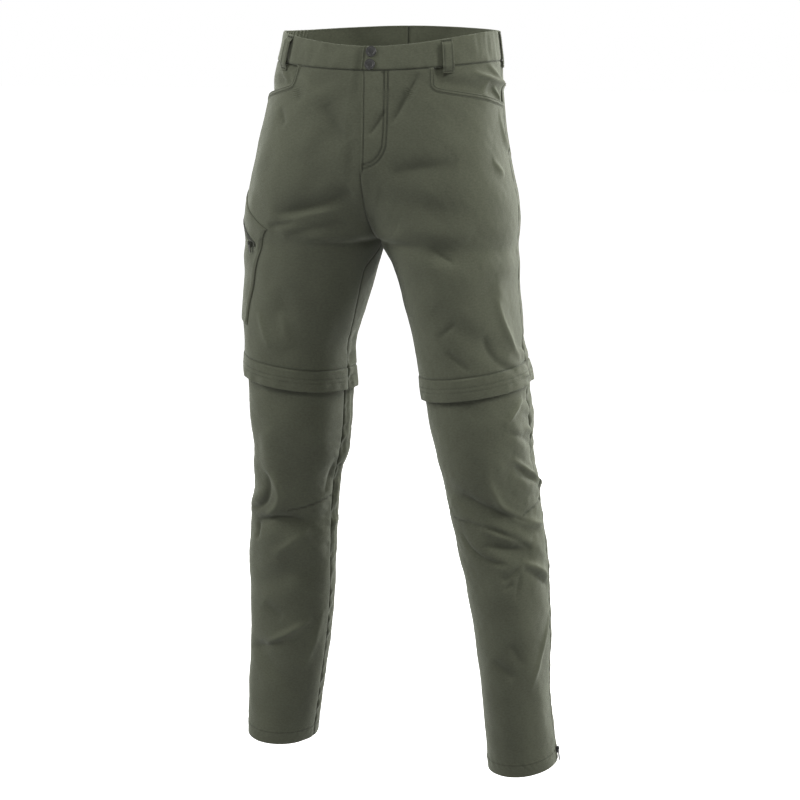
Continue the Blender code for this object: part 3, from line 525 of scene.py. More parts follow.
def folds_height(rows, side, around, drop, power):
    """Summed height of the folds in a table. power is 2 for a round fold, and less for a sharper one."""
    around = same_leg(around, drop)
    height = np.zeros(around.shape)
    round_mm = quarter(side, drop)
    for fold in (dict(zip(FOLD_COLUMNS, row)) for row in rows if row[0] == side):
        middle = quarter(side, (fold["drop"] + fold["to_drop"]) / 2)
        run = np.array(((fold["to_around"] - fold["around"]) * middle, fold["to_drop"] - fold["drop"]))
        length = np.hypot(*run)
        x, y = (around - fold["around"]) * round_mm, drop - fold["drop"]
        along = (x * run[0] + y * run[1]) / length ** 2
        off = (x * run[1] - y * run[0]) / length - fold["bow"] * 4 * along * (1 - along)
        ends = np.clip(1 - (2 * along - 1) ** 2, 0, 1) ** FOLD_END_POWER
        height += fold["rise"] * ends * np.exp(-np.abs(off / fold["width"]) ** power)
    return height


def ripple(x, y, size, seed):
    """Soft uneven waves of about this size, from -1 to 1: a sum of sines in seeded directions."""
    random = np.random.default_rng(seed)
    total = np.zeros(np.broadcast(x, y).shape)
    waves = 7
    for _ in range(waves):
        turn, phase = random.uniform(0, 2 * np.pi, 2)
        pace = 2 * np.pi / size * random.uniform(0.6, 1.6)
        total += np.sin(pace * (x * math.cos(turn) + y * math.sin(turn)) + phase)
    return total / math.sqrt(waves)


def smooth_step(start, end, value):
    t = np.clip((value - start) / (end - start), 0, 1)
    return t * t * (3 - 2 * t)


def crease_height(side, around, drop):
    """Everything finer than the model's folds: creases, puckers along the seams and a slight waviness."""
    around, drop = places(around, drop)
    around = same_leg(around, drop)
    height = folds_height(CREASES, side, around, drop, CREASE_POWER)
    x = around * quarter(side, drop)
    for i, row in enumerate(PUCKERS):
        pucker = dict(zip(PUCKER_COLUMNS, row))
        if pucker["side"] != side:
            continue
        from_seam = around * pucker["toward"] - pucker["seam"]
        off = np.abs(from_seam) * quarter(side, drop) / pucker["reach"]
        fade = smooth_step(0, 20, drop - pucker["drop"]) * smooth_step(0, 20, pucker["to_drop"] - drop)
        fade *= np.where(pucker["seam"], around * pucker["toward"] > 0, from_seam > 0)
        waves = ripple(0 * x, drop + 0.35 * pucker["reach"] * off, pucker["wave"], 40 + i)
        height += pucker["size"] * fade * off * np.exp(1 - off) * np.exp(-((off / 2.4) ** 2)) * waves
    clear = smooth_step(0, 12, (1 - np.abs(around)) * quarter(side, drop))
    knee = np.exp(-(((drop - 660) / 110) ** 2))
    height += clear * (0.35 + 0.35 * knee) * ripple(x, drop, 62, 7 + side)
    height += clear * (0.1 + 0.14 * knee) * ripple(x, drop, 19, 17 + side)
    return height


def lay(side, around, drop, height):
    """Points at this height over the folded cloth."""
    around, drop = places(around, drop)
    relief = folds_height(FOLDS, side, around, drop, 2) + crease_height(side, around, drop)
    return form(side, around, drop) + form_normal(side, around, drop) * (height + relief)[..., None]


# Grids of places, and the distances that shape a piece's edges, grooves and gathers
EDGE_STEPS = (0.0, 0.5, 1.1, 1.9, 3.0)


def spaced(length, step=STEP):
    """Shares from 0 to 1 that lie closer together at both ends."""
    ends = np.array(EDGE_STEPS) / length
    middle = np.linspace(ends[-1], 1 - ends[-1], max(2, round((length - 2 * EDGE_STEPS[-1]) / step) + 1))
    return np.concatenate([ends[:-1], middle, 1 - ends[:-1][::-1]])


def rows_down(top, bottom, step=STEP):
    return top + (bottom - top) * spaced(bottom - top, step)


def span(side, drops, edges, step=STEP, parts=1):
    """Places in rows at these drops, between two edges, and their distances in from the piece's four edges.

    The edges are a pair, or a function of the drop. The last half of the columns may have finer parts.
    """
    ends = np.array([edges(drop) if callable(edges) else edges for drop in drops], float)
    width = np.mean((ends[:, 1] - ends[:, 0]) * quarter(side, drops))
    shares = spaced(width, step)
    cuts = [np.linspace(a, b, parts if a > 0.5 else 1, endpoint=False) for a, b in zip(shares, shares[1:])]
    shares = np.concatenate(cuts + [shares[-1:]])
    around, drop = places(ends[:, :1] + (ends[:, 1:] - ends[:, :1]) * shares, np.asarray(drops)[:, None])
    scale = quarter(side, drop)
    return around, drop, {
        "first": (around - around[:, :1]) * scale, "last": (around[:, -1:] - around) * scale,
        "top": drop - drop[:1], "bottom": drop[-1:] - drop,
    }


def ridge(distance, rise, reach):
    """How far the cloth swells along a line."""
    return rise * np.exp(-((distance / reach) ** 2))


def seam_dip(distance, depth=SEAM_DIP, reach=SEAM_REACH):
    """How far the cloth turns down into a seam."""
    return -ridge(distance, depth, reach)


def sewn(edge, *names):
    """Dips along the named edges of a piece."""
    return sum(seam_dip(edge[name]) for name in names)


def line_distance(side, around, drop, line):
    """Distance to a line of places, in millimetres."""
    line = np.array(line, float)
    xs, ys = line[:, 0] * quarter(side, line[:, 1]), line[:, 1]
    x, y = around * quarter(side, drop), drop
    best = np.full(np.broadcast(x, y).shape, np.inf)
    for ax, ay, bx, by in zip(xs, ys, xs[1:], ys[1:]):
        t = np.clip(((x - ax) * (bx - ax) + (y - ay) * (by - ay)) / ((bx - ax) ** 2 + (by - ay) ** 2), 0, 1)
        best = np.minimum(best, np.hypot(x - ax - t * (bx - ax), y - ay - t * (by - ay)))
    return best


def groove(side, around, drop, line, depth=0.45, reach=1.1):
    """The trench that a line of stitches pulls into the cloth."""
    return seam_dip(line_distance(side, around, drop, line), depth, reach)


def beside(side, line, offset):
    """A line of places that runs this many millimetres beside another."""
    line = np.array(line, float)
    scale = quarter(side, line[:, 1])
    flat = np.stack([line[:, 0] * scale, line[:, 1]], axis=1)
    along = unit(np.gradient(flat, axis=0))
    moved = flat + np.stack([-along[:, 1], along[:, 0]], axis=1) * offset
    return np.stack([moved[:, 0] / scale, moved[:, 1]], axis=1)


def smooth_line(points, count=40):
    """More places along a short line, on a smooth curve through them."""
    points = np.array(points, float)
    at = run_length(points * (FLY_QUARTER, 1))
    return np.stack([smooth_curve(at, column, np.linspace(0, at[-1], count)) for column in points.T], axis=1)


# Materials
class Link:
    """One socket in a material. Arithmetic on it adds Math nodes."""

    def __init__(self, tree, socket=None):
        self.tree = tree
        self.socket = socket

    def node(self, kind, settings=None, values=None, output=0):
        """A new node's output: its settings are made first, then its sockets' values or links."""
        made = self.tree.nodes.new(kind)
        for name, value in (settings or {}).items():
            setattr(made, name, value)
        for name, value in (values or {}).items():
            if isinstance(value, Link):
                self.tree.links.new(value.socket, made.inputs[name])
            else:
                made.inputs[name].default_value = value
        return Link(self.tree, made.outputs[output])

    def maths(self, operation, first, second=0.0):
        return self.node("ShaderNodeMath", {"operation": operation}, {0: first, 1: second})

    def __add__(self, other):
        return self.maths("ADD", self, other)

    __radd__ = __add__

    def __mul__(self, other):
        return self.maths("MULTIPLY", self, other)

    __rmul__ = __mul__

    def __sub__(self, other):
        return self.maths("SUBTRACT", self, other)

    def __rsub__(self, other):
        return self.maths("SUBTRACT", other, self)

    def sine(self):
        return self.maths("SINE", self)

    def tinted(self, colour, other):
        """From one colour to another as this value goes from 0 to 1."""
        ends = [end if isinstance(end, Link) else (*end, 1) for end in (colour, other)]
        settings = {"data_type": "RGBA", "clamp_factor": True}
        return self.node("ShaderNodeMix", settings, {0: self, 6: ends[0], 7: ends[1]}, output=2)

    def noise(self, scale, detail, roughness=0.5, place=None):
        """Noise over the piece's Object coordinates, or over another place."""
        place = place or self.node("ShaderNodeTexCoord", output=3)
        values = {"Vector": place, "Scale": scale, "Detail": detail, "Roughness": roughness}
        return self.node("ShaderNodeTexNoise", values=values)

    def feed(self, shader, name):
        self.tree.links.new(self.socket, shader.inputs[name])

    def raise_surface(self, shader, strength, distance):
        """Feeds this value to the shader's normal as a height."""
        values = {"Strength": strength, "Distance": distance, "Height": self}
        self.node("ShaderNodeBump", values=values).feed(shader, "Normal")


def new_material(name, colour, roughness, metallic=0.0):
    """A material's Principled shader and a Link to build its inputs from."""
    material = bpy.data.materials.new(name)
    material.use_nodes = True
    material.diffuse_color = (*colour, 1)
    shader = material.node_tree.nodes["Principled BSDF"]
    shader.inputs["Base Color"].default_value = (*colour, 1)
    shader.inputs["Roughness"].default_value = roughness
    shader.inputs["Metallic"].default_value = metallic
    return material, shader, Link(material.node_tree)


def scaled(colour, factor):
    return tuple(min(1.0, part * factor) for part in colour)


WEAVE_PITCH = 0.0007


def cloth_material(name, colour):
    """Fine plain weave along the cloth's own UVs, a little paler on its crests as wear, with painted shade darkening
    its creases and its seams.
    """
    material, shader, link = new_material(name, colour, 0.86)
    uv = link.node("ShaderNodeUVMap", {"uv_map": "cloth"})
    across = link.node("ShaderNodeSeparateXYZ", values={0: uv})
    down = Link(link.tree, across.socket.node.outputs[1])
    pace = 2 * math.pi / WEAVE_PITCH
    threads = (across * pace).sine() * (down * pace).sine()
    mottle = link.noise(16.0, 6.0, 0.65)
    stretched = link.node("ShaderNodeMapping", values={"Vector": uv, "Scale": (260.0, 420.0, 1.0)})
    slubs = link.noise(1.0, 3.0, 0.7, stretched)
    crest_wear_and_shade, seam = (
        link.node("ShaderNodeAttribute", {"attribute_name": label}, output=2) for label in ("crest_wear_and_shade", "seam")
    )
    # The crest attribute paints crests a little paler, as worn, and troughs darker: painted shade in the creases.
    tone = 0.5 + (mottle - 0.5) * 0.8 + (slubs - 0.5) * 1.7 + threads * 0.1 + crest_wear_and_shade * 0.5
    cloth = tone.tinted(scaled(colour, 0.8), scaled(colour, 1.2))
    # Painted shade: the seam attribute darkens the colour where the cloth dips into seams, darts and stitch grooves.
    (seam * 0.75).tinted(cloth, scaled(colour, 0.35)).feed(shader, "Base Color")
    (0.84 + (slubs - 0.5) * 0.16).feed(shader, "Roughness")
    (threads * 0.5 + slubs * 0.9).raise_surface(shader, 0.5, 0.00012)
    shader.inputs["Sheen Weight"].default_value = 0.35
    shader.inputs["Sheen Roughness"].default_value = 0.45
    shader.inputs["Sheen Tint"].default_value = (0.82, 0.86, 0.74, 1)
    shader.inputs["Specular IOR Level"].default_value = 0.28
    return material


def tape_material(name, colour):
    """Fine grain, as of zip tape and thread."""
    material, shader, link = new_material(name, colour, 0.8)
    grain = link.noise(1400.0, 2.0)
    grain.tinted(scaled(colour, 0.7), scaled(colour, 1.35)).feed(shader, "Base Color")
    grain.raise_surface(shader, 0.5, 0.0001)
    return material


def metal_material(name, colour, roughness, metallic):
    """Painted metal, paler and duller in faint patches."""
    material, shader, link = new_material(name, colour, roughness, metallic)
    rub = link.noise(420.0, 5.0, 0.7)
    rub.tinted(scaled(colour, 0.75), scaled(colour, 1.4)).feed(shader, "Base Color")
    (roughness - 0.12 + rub * 0.24).feed(shader, "Roughness")
    rub.raise_surface(shader, 0.12, 0.0001)
    return material


OLIVE = (0.121, 0.130, 0.087)
FINISHES = (
    ("olive_cloth", cloth_material, OLIVE),
    ("waistband_cloth", cloth_material, scaled(OLIVE, 1.04)),
    ("pocket_cloth", cloth_material, scaled(OLIVE, 0.96)),
    ("zip_tape", tape_material, (0.03, 0.03, 0.027)),
    ("olive_tape", tape_material, (0.055, 0.059, 0.041)),
    ("olive_metal", metal_material, (0.05, 0.053, 0.039), 0.5, 0.1),
    ("zip_metal", metal_material, (0.02, 0.02, 0.02), 0.42, 0.55),
    ("snap_metal", metal_material, (0.05, 0.05, 0.048), 0.42, 0.35),
    ("thread", tape_material, (0.06, 0.064, 0.046)),
)
MATERIALS = {name: make(name, *looks) for name, make, *looks in FINISHES}


# Building and declaring a piece
def finish_piece(obj, finish, node=None, body=BODY):
    """The piece's material, slot, body and the model's node that it stands for."""
    obj.data.materials.clear()
    obj.data.materials.append(MATERIALS[finish])
    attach(obj, body)
    if node:
        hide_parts(node)
    return obj


def flat_cut(side, around, drop):
    """Width, length and area of the piece's cut, in metres, measured on the form with no folds."""
    points = form(side, around, drop) * MM
    widths = np.linalg.norm(np.diff(points, axis=1), axis=2).sum(axis=1)
    length = float(np.ptp(drop)) * MM
    a, b = points[1:, :-1] - points[:-1, :-1], points[:-1, 1:] - points[:-1, :-1]
    area = float(np.linalg.norm(np.cross(a, b), axis=2).sum())
    return float(widths.max()), length, area


def shell_faces(outer, out):
    """Faces of a closed shell: the outer sheet, the inner one behind it and the rim that joins them."""
    rows, columns = outer.shape[:2]
    index = np.arange(rows * columns).reshape(rows, columns)
    faces = np.stack([index[:-1, :-1], index[:-1, 1:], index[1:, 1:], index[1:, :-1]], axis=-1).reshape(-1, 4)
    loop = np.concatenate([index[0, :-1], index[:-1, -1], index[-1, :0:-1], index[:0:-1, 0]])
    after, count = np.roll(loop, -1), rows * columns
    rim = np.stack([loop, loop + count, after + count, after], axis=-1)
    shell = np.concatenate([faces, faces[:, ::-1] + count, rim])
    facing = np.cross(outer[:-1, 1:] - outer[:-1, :-1], outer[1:, :-1] - outer[:-1, :-1])
    if (facing * out[:-1, :-1]).sum() < 0:
        shell = shell[:, ::-1]
    return shell.tolist()


CUTS, TRIMS = {}, {}


def new_object(name, points, faces):
    """A smooth mesh object, from points in millimetres."""
    mesh = bpy.data.meshes.new(name)
    mesh.from_pydata((points * MM).tolist(), [], faces)
    mesh.shade_smooth()
    obj = bpy.data.objects.new(name, mesh)
    bpy.context.scene.collection.objects.link(obj)
    return obj


def add_cloth(node, side, around, drop, height, dips_and_seam_shade=0.0, thick=CLOTH, finish="olive_cloth", held="hung",
              rests_on=(), trim_of=None):
    """A thin closed shell in a node's place, at this height over the form, its seams and stitches sunk into it and
    darkened there in colour as painted shade.

    rests_on and trim_of name the nodes whose cloth it rests on or is cut with.
    """
    around, drop, height, dips_and_seam_shade, thick = places(around, drop, height, dips_and_seam_shade, thick)
    out = form_normal(side, around, drop)
    fine = crease_height(side, around, drop)
    folded = form(side, around, drop) + out * (folds_height(FOLDS, side, around, drop, 2) + fine)[..., None]
    rim = np.full(around.shape, RIM_ROUND)
    rim[1:-1, 1:-1] = 0
    outer = folded + out * (height + dips_and_seam_shade - rim * thick)[..., None]
    inner = folded + out * (height + dips_and_seam_shade - thick + rim * thick)[..., None]
    points = np.concatenate([outer.reshape(-1, 3), inner.reshape(-1, 3)])
    obj = new_object(node + "_cloth", points, shell_faces(outer, out))
    mesh = obj.data
    corners = np.empty(len(mesh.loops), int)
    mesh.loops.foreach_get("vertex_index", corners)
    flat = np.stack([around * quarter(side, drop) * MM, drop * MM], axis=-1).reshape(-1, 2)
    mesh.uv_layers.new(name="cloth").data.foreach_set("uv", np.vstack([flat, flat])[corners].ravel())
    # Colour attributes: crest paints crests paler as wear and troughs darker as painted shade; seam paints shade
    # where the cloth dips into seams and stitches.
    for label, values in (("crest_wear_and_shade", np.clip(fine / 3, -1, 1)), ("seam", np.clip(-dips_and_seam_shade / SEAM_DIP, 0, 1))):
        attribute = mesh.attributes.new(label, "FLOAT", "POINT")
        attribute.data.foreach_set("value", np.tile(values.ravel(), 2).astype(np.float32))
    finish_piece(obj, finish, node)
    if trim_of:
        TRIMS.setdefault(trim_of + "_cloth", []).append(obj)
    else:
        CUTS[obj.name] = (obj, flat_cut(side, around, drop), held, [rest + "_cloth" for rest in rests_on])


def place_copies(name, template, centres, axes, finish):
    """One mesh of many copies of a small shape, each turned by its own three axes."""
    points, faces = template
    spots = np.einsum("vk,nkd->nvd", points, axes) + centres[:, None]
    polygons = [[i + k * len(points) for i in face] for k in range(len(centres)) for face in faces]
    finish_piece(new_object(name, spots.reshape(-1, 3), polygons), finish)


def small_shape(build, size):
    """The points and faces of a small shape, scaled to this size."""
    bm = bmesh.new()
    build(bm)
    points = np.array([vert.co for vert in bm.verts]) * size
    faces = [[vert.index for vert in face.verts] for face in bm.faces]
    bm.free()
    return points, faces


STITCH_LENGTH, STITCH_PITCH, THREAD_RADIUS = 2.5, 3.1, 0.3
TOOTH_ASIDE = 0.55
DIRECTION_STEP = 0.4
STITCH = small_shape(
    lambda bm: bmesh.ops.create_uvsphere(bm, u_segments=5, v_segments=4, radius=1),
    (THREAD_RADIUS, THREAD_RADIUS, STITCH_LENGTH / 2),
)
TOOTH = small_shape(lambda bm: bmesh.ops.create_cube(bm, size=1), (1.5, 0.8, 0.8))


def along_line(side, line, height, pitch):
    """Evenly spaced places along a line on the cloth, with the directions along, across and out of it."""
    line = np.array(line, float)
    shares = np.linspace(0, 1, max(8, 10 * len(line)))
    finer = [np.interp(shares, np.linspace(0, 1, len(line)), column) for column in line.T]
    length = run_length(lay(side, *finer, height))
    spots = np.arange(pitch / 2, length[-1], pitch)
    here, behind, beyond = (
        [np.interp(spots + step, length, values) for values in finer]
        for step in (0, -DIRECTION_STEP, DIRECTION_STEP)
    )
    ahead = unit(lay(side, *beyond, height) - lay(side, *behind, height))
    out = form_normal(side, *here)
    return lay(side, *here, height), ahead, unit(np.cross(out, ahead)), out


def add_stitches(name, lines):
    """Stitches along lines, each given as side, places and height."""
    centres, axes = [], []
    for side, line, height in lines:
        spots, ahead, across, out = along_line(side, line, height, STITCH_PITCH)
        centres.append(spots)
        axes.append(np.stack([across, out, ahead], axis=1))
    place_copies(name, STITCH, np.concatenate(centres), np.concatenate(axes), "thread")


def add_teeth(name, side, line, height, pitch=2.0, finish="zip_metal"):
    """A zip's two rows of teeth, each meshing with the other."""
    spots, ahead, across, out = along_line(side, line, height, pitch)
    turn = np.where(np.arange(len(spots)) % 2, 1, -1)[:, None]
    centres = spots + across * turn * TOOTH_ASIDE
    place_copies(name, TOOTH, centres, np.stack([across, ahead, out], axis=1), finish)


def ring_at(drop, count):
    """Places right round a leg, from inseam to inseam."""
    return [(around, drop) for around in np.linspace(-0.99, 0.99, count)]


# Panels of the trousers
def lap_width(drop):
    """How far the left front laps over the right one."""
    return np.interp(drop, LAP_DROPS, LAPS)


def under_lap(side, around, drop, thick):
    """How far the right front sinks to pass behind the left one."""
    from_centre = (1 - around) * quarter(side, drop)
    near = 1 - smooth_step(FRONT_LAP + 2, FRONT_LAP + 14, from_centre)
    return -(thick + SEAM_GAP) * near * (1 - smooth_step(LAP_END + 4, LAP_END + 30, drop))


def mouth_curve(side, count=60):
    """The front pocket's mouth: down from the waist seam, round a soft corner and out to the side seam."""
    top, end = MOUTH_SHARE[side], np.array((0, MOUTH_DROP))
    corner = np.array((top, MOUTH_CORNER_DROP))
    bend = arc(corner - (0, 9), corner, corner, corner + 0.2 * (end - corner), 20)
    line = np.vstack([[(top, WAISTBAND_HEIGHT)], bend, [corner + 0.6 * (end - corner) + (0, -1.2)], [end]])
    length = run_length(line * (MOUTH_QUARTER, 1))
    even = np.linspace(0, length[-1], count)
    return np.stack([np.interp(even, length, line[:, k]) for k in (0, 1)], axis=1)


def mouth_edge(side, drop):
    curve = mouth_curve(side)
    return max(np.interp(drop, curve[:, 1], curve[:, 0]), 0.0)


def inseam_shift(drop):
    """How far the thigh's inseam lies in front of the leg's inmost line."""
    return INSEAM_SHIFT * smooth_step(CROTCH_DROP, 330, drop) * (1 - smooth_step(330, 470, drop))


def under_flap(drop):
    """How far the thigh's end sinks behind the knee flap."""
    return 1.6 * smooth_step(FLAP_TOP, FLAP_TOP + 6, drop)


def lower_height(drop):
    """The lower leg starts inside the thigh, behind the zip, and comes out to the form below it."""
    return -LOWER_TUCK * (1 - smooth_step(FLAP_END, FLAP_END + 100, drop))


def fly_lines():
    outer = smooth_line(FLY_STITCH)
    return outer, beside(LEFT, outer, -5.0)


def add_fronts():
    for side, own in NAMES.items():
        def edges(drop):
            reach = lap_width(drop) if side == LEFT else UNDER_LAP if drop < LAP_END - 4 else SEAM_TUCK
            return mouth_edge(side, drop), 1 + reach / quarter(side, drop) - inseam_shift(drop)

        drops = rows_down(WAISTBAND_HEIGHT, THIGH_END)
        around, drop, edge = span(side, drops, edges, STEP, 2 if side == LEFT else 1)
        free = smooth_step(LAP_END - 4, LAP_END + 6, drop)
        height = -under_flap(drop)
        dips_and_seam_shade = sewn(edge, "top") + sewn(edge, "first") * smooth_step(MOUTH_DROP - 3, MOUTH_DROP + 3, drop)
        dips_and_seam_shade += sewn(edge, "last") * free + seam_dip(drop - FLAP_TOP, 0.95, 1.3)
        if side == RIGHT:
            height += under_lap(side, around, drop, CLOTH)
        else:
            height += ridge(edge["last"] - 0.6, 0.5, 1.1) * (1 - free)
            dips_and_seam_shade += seam_dip(edge["last"] - 3.0, 0.55, 0.9) * (1 - free)
            dips_and_seam_shade += sum(groove(side, around, drop, line, 0.8, 1.3) for line in fly_lines())
        add_cloth(f"front_{own}", side, around, drop, height, dips_and_seam_shade, rests_on=[f"waistband_front_{own}"])


def add_backs():
    for side, own in NAMES.items():
        def edges(drop):
            tuck = SEAM_TUCK / quarter(side, drop)
            return -1.0 - inseam_shift(drop) - tuck, tuck

        around, drop, edge = span(side, rows_down(WAISTBAND_HEIGHT, THIGH_END), edges)
        dips_and_seam_shade = sewn(edge, "top", "first", "last") + seam_dip(drop - FLAP_TOP, 0.95, 1.3)
        gathered = 1 - smooth_step(WAISTBAND_HEIGHT, WAISTBAND_HEIGHT + 26, drop)
        height = gather_height(side, around, drop) * gathered - under_flap(drop)
        add_cloth(f"back_{own}", side, around, drop, height, dips_and_seam_shade, rests_on=[f"waistband_back_{own}"])


def gather_height(side, around, drop):
    """Uneven gathers where elastic draws the back waistband in, next to the side seam."""
    along = -around * quarter(side, 0)
    within = smooth_step(0, 5, along) * (1 - smooth_step(GATHERED_LENGTH - 14, GATHERED_LENGTH, along))
    waves = np.sin(2 * np.pi * (along / 7.4 + 0.25 * np.sin(along / 9.0) + 0.05 * np.sin(drop / 6.0)))
    return within * (0.35 + waves)


def add_waistbands():
    drops = rows_down(0, WAISTBAND_HEIGHT, 2.0)
    for side, own in NAMES.items():
        end = 1 + (TAB_LAP / quarter(side, 0) if side == LEFT else 0)
        around, drop, edge = span(side, drops, (0, end), 2.5)
        dips_and_seam_shade = sewn(edge, "first") + seam_dip(edge["bottom"], 0.8)
        height = WAISTBAND_PROUD + seam_dip(edge["top"], 0.4)
        if side == RIGHT:
            height += under_lap(side, around, drop, WAISTBAND_THICK)
        else:
            height += ridge(edge["last"] - 0.6, 0.5, 1.1)
            dips_and_seam_shade += seam_dip(edge["last"] - 2.8, 0.5, 0.9)
        height += 0.25 * ripple(around * quarter(side, 20), drop * 0.3, 16, 60 + side)
        add_cloth(f"waistband_front_{own}", side, around, drop, height, dips_and_seam_shade, WAISTBAND_THICK,
                  "waistband_cloth", "stretched")

        around, drop, edge = span(side, drops, (-1, 0), 1.6)
        dips_and_seam_shade = sewn(edge, "first", "last") + seam_dip(edge["bottom"], 0.8)
        pinch = 0.4 + 0.6 * np.abs(np.sin(np.pi * drop / (WAISTBAND_HEIGHT / 2)))
        height = WAISTBAND_PROUD + seam_dip(edge["top"], 0.4) + gather_height(side, around, drop) * pinch
        add_cloth(f"waistband_back_{own}", side, around, drop, height, dips_and_seam_shade, WAISTBAND_THICK,
                  "waistband_cloth", "gathered")


def add_belt_loops():
    upper = (LOOP_TOP, LOOP_TOP + 4, LOOP_TOP + 9, LOOP_TOP + 25)
    knots = np.array((*upper, LOOP_END - 9, LOOP_END - 4, LOOP_END))
    bows = np.array((0, 0, LOOP_GAP, LOOP_GAP + 0.4, LOOP_GAP, 0, 0))
    tall = np.linspace(LOOP_TOP + 5, LOOP_END - 5, 16)
    lines = []
    for name, side, middle in BELT_LOOPS:
        half, inset, reach = ((LOOP_WIDTH / 2 - less) / quarter(side, 20) for less in (0, LOOP_STITCH, 1.0))
        lift, clear = (LOOP_FLAT, SIDE_LOOP_CLEAR) if name.startswith("side") else (1.0, 0)
        top = WAISTBAND_PROUD + clear + SEAM_GAP + LOOP_THICK
        ends = (middle - half, middle + half)
        around, drop, edge = span(side, rows_down(LOOP_TOP, LOOP_END, 1.5), ends, 1.2)
        dips_and_seam_shade = seam_dip(np.minimum(edge["first"], edge["last"]) - LOOP_STITCH, 0.45, 0.7)
        dips_and_seam_shade += seam_dip(edge["top"] - LOOP_TACK, 0.6, 1.0) + seam_dip(edge["bottom"] - LOOP_TACK, 0.6, 1.0)
        add_cloth(f"belt_loop_{name}", side, around, drop, top + lift * np.interp(drop, knots, bows), dips_and_seam_shade,
                  LOOP_THICK, held="stretched", rests_on=[f"waistband_front_{NAMES[side]}"])
        tops = top - THREAD_SINK + lift * np.interp(tall, knots, bows)
        for at in (middle - inset, middle + inset):
            lines += [(side, [(at, a), (at, b)], float(height)) for a, b, height in zip(tall, tall[1:], tops)]
        for tack in (LOOP_TOP + LOOP_TACK, LOOP_END - LOOP_TACK):
            lines += [(side, [(middle - reach, tack + row), (middle + reach, tack + row)], top - THREAD_SINK)
                      for row in (-0.5, 0, 0.5)]
    add_stitches("belt_loop_stitches", lines)


def add_front_pockets():
    for side, own in NAMES.items():
        def edges(drop):
            return 0.0, mouth_edge(side, drop) + MOUTH_BACKING / quarter(side, drop)

        curve = mouth_curve(side)
        drops = rows_down(WAISTBAND_HEIGHT, MOUTH_DROP + MOUTH_BACKING, 2.0)
        around, drop, edge = span(side, drops, edges, 2.0)
        to_mouth = line_distance(side, around, drop, curve)
        covered = around > np.array([[mouth_edge(side, d)] for d in drops])
        behind = np.where(covered | (drop > MOUTH_DROP), 1, 1 - smooth_step(7, 26, to_mouth))
        height = -(CAD_CLOTH + 2 * SEAM_GAP) * behind
        sag = FACING_SAG * smooth_step(0, 30, edge["first"]) * ~covered
        add_cloth(f"pocket_facing_{own}", side, around, drop, height - ridge(to_mouth - 9, sag, 10),
                  sewn(edge, "top", "first"), CLOTH, "pocket_cloth", "stretched", [f"waistband_front_{own}"])

        inner = np.linspace(1.4, EDGE_WIDTH - 1.0, 9)
        offsets = np.concatenate([[0.15, 0.5, 0.9], inner, [EDGE_WIDTH - 0.6, EDGE_WIDTH]])
        ribbon = np.stack([beside(side, curve, -offset) for offset in offsets], axis=1)
        ribbon[0, :, 1] = WAISTBAND_HEIGHT
        ribbon[..., 0] = np.maximum(ribbon[..., 0], 0.0)
        height = 0.25 + 0.75 * (1 - smooth_step(4.2, EDGE_WIDTH, offsets))
        dips_and_seam_shade = sum(seam_dip(offsets - offset, 0.5, 0.6) for offset in EDGE_STITCHES)
        add_cloth(f"pocket_edge_{own}", side, ribbon[..., 0], ribbon[..., 1], height, dips_and_seam_shade, 0.9,
                  trim_of=f"front_{own}")
        add_stitches(f"pocket_edge_{own}_stitches",
                     [(side, beside(side, curve[2:-2], -offset), 0.62) for offset in EDGE_STITCHES])


def add_fly():
    half = FLY_ZIP_WIDTH / 2 / quarter(RIGHT, 100)
    drops = rows_down(WAISTBAND_HEIGHT + 2, LAP_END - 7, 4.0)
    around, drop, _ = span(RIGHT, drops, (1 - half, 1 + half), 2.5)
    depth = -2 * CAD_CLOTH - 3 * SEAM_GAP
    add_cloth("fly_zip", RIGHT, around, drop, depth, thick=ZIP_THICK, finish="zip_tape")
    add_teeth("fly_zip_teeth", RIGHT, [(1, WAISTBAND_HEIGHT + 3), (1, LAP_END - 9)], depth - ZIP_THICK - 0.2)
    lap_edge = [(1 + (lap_width(d) - 3.0) / quarter(LEFT, d), d) for d in np.linspace(42, LAP_END - 10, 30)]
    lines = [(LEFT, line, -0.4) for line in fly_lines()] + [(LEFT, lap_edge, -0.25)]
    add_stitches("fly_stitches", lines + [(LEFT, [(0.9, tack), (0.93, tack)], 0.1) for tack in (42.5, 43.3)])


def pocket_front(share):
    """Where the thigh pocket's front edge lies, bent back a little, at a share of the way down."""
    _, (top, top_drop), (bottom, bottom_drop) = THIGH_POCKET
    skewed = share ** 0.6
    bow = THIGH_POCKET_BOW * 4 * skewed * (1 - skewed)
    return top + (bottom - top) * share - bow, top_drop + (bottom_drop - top_drop) * share


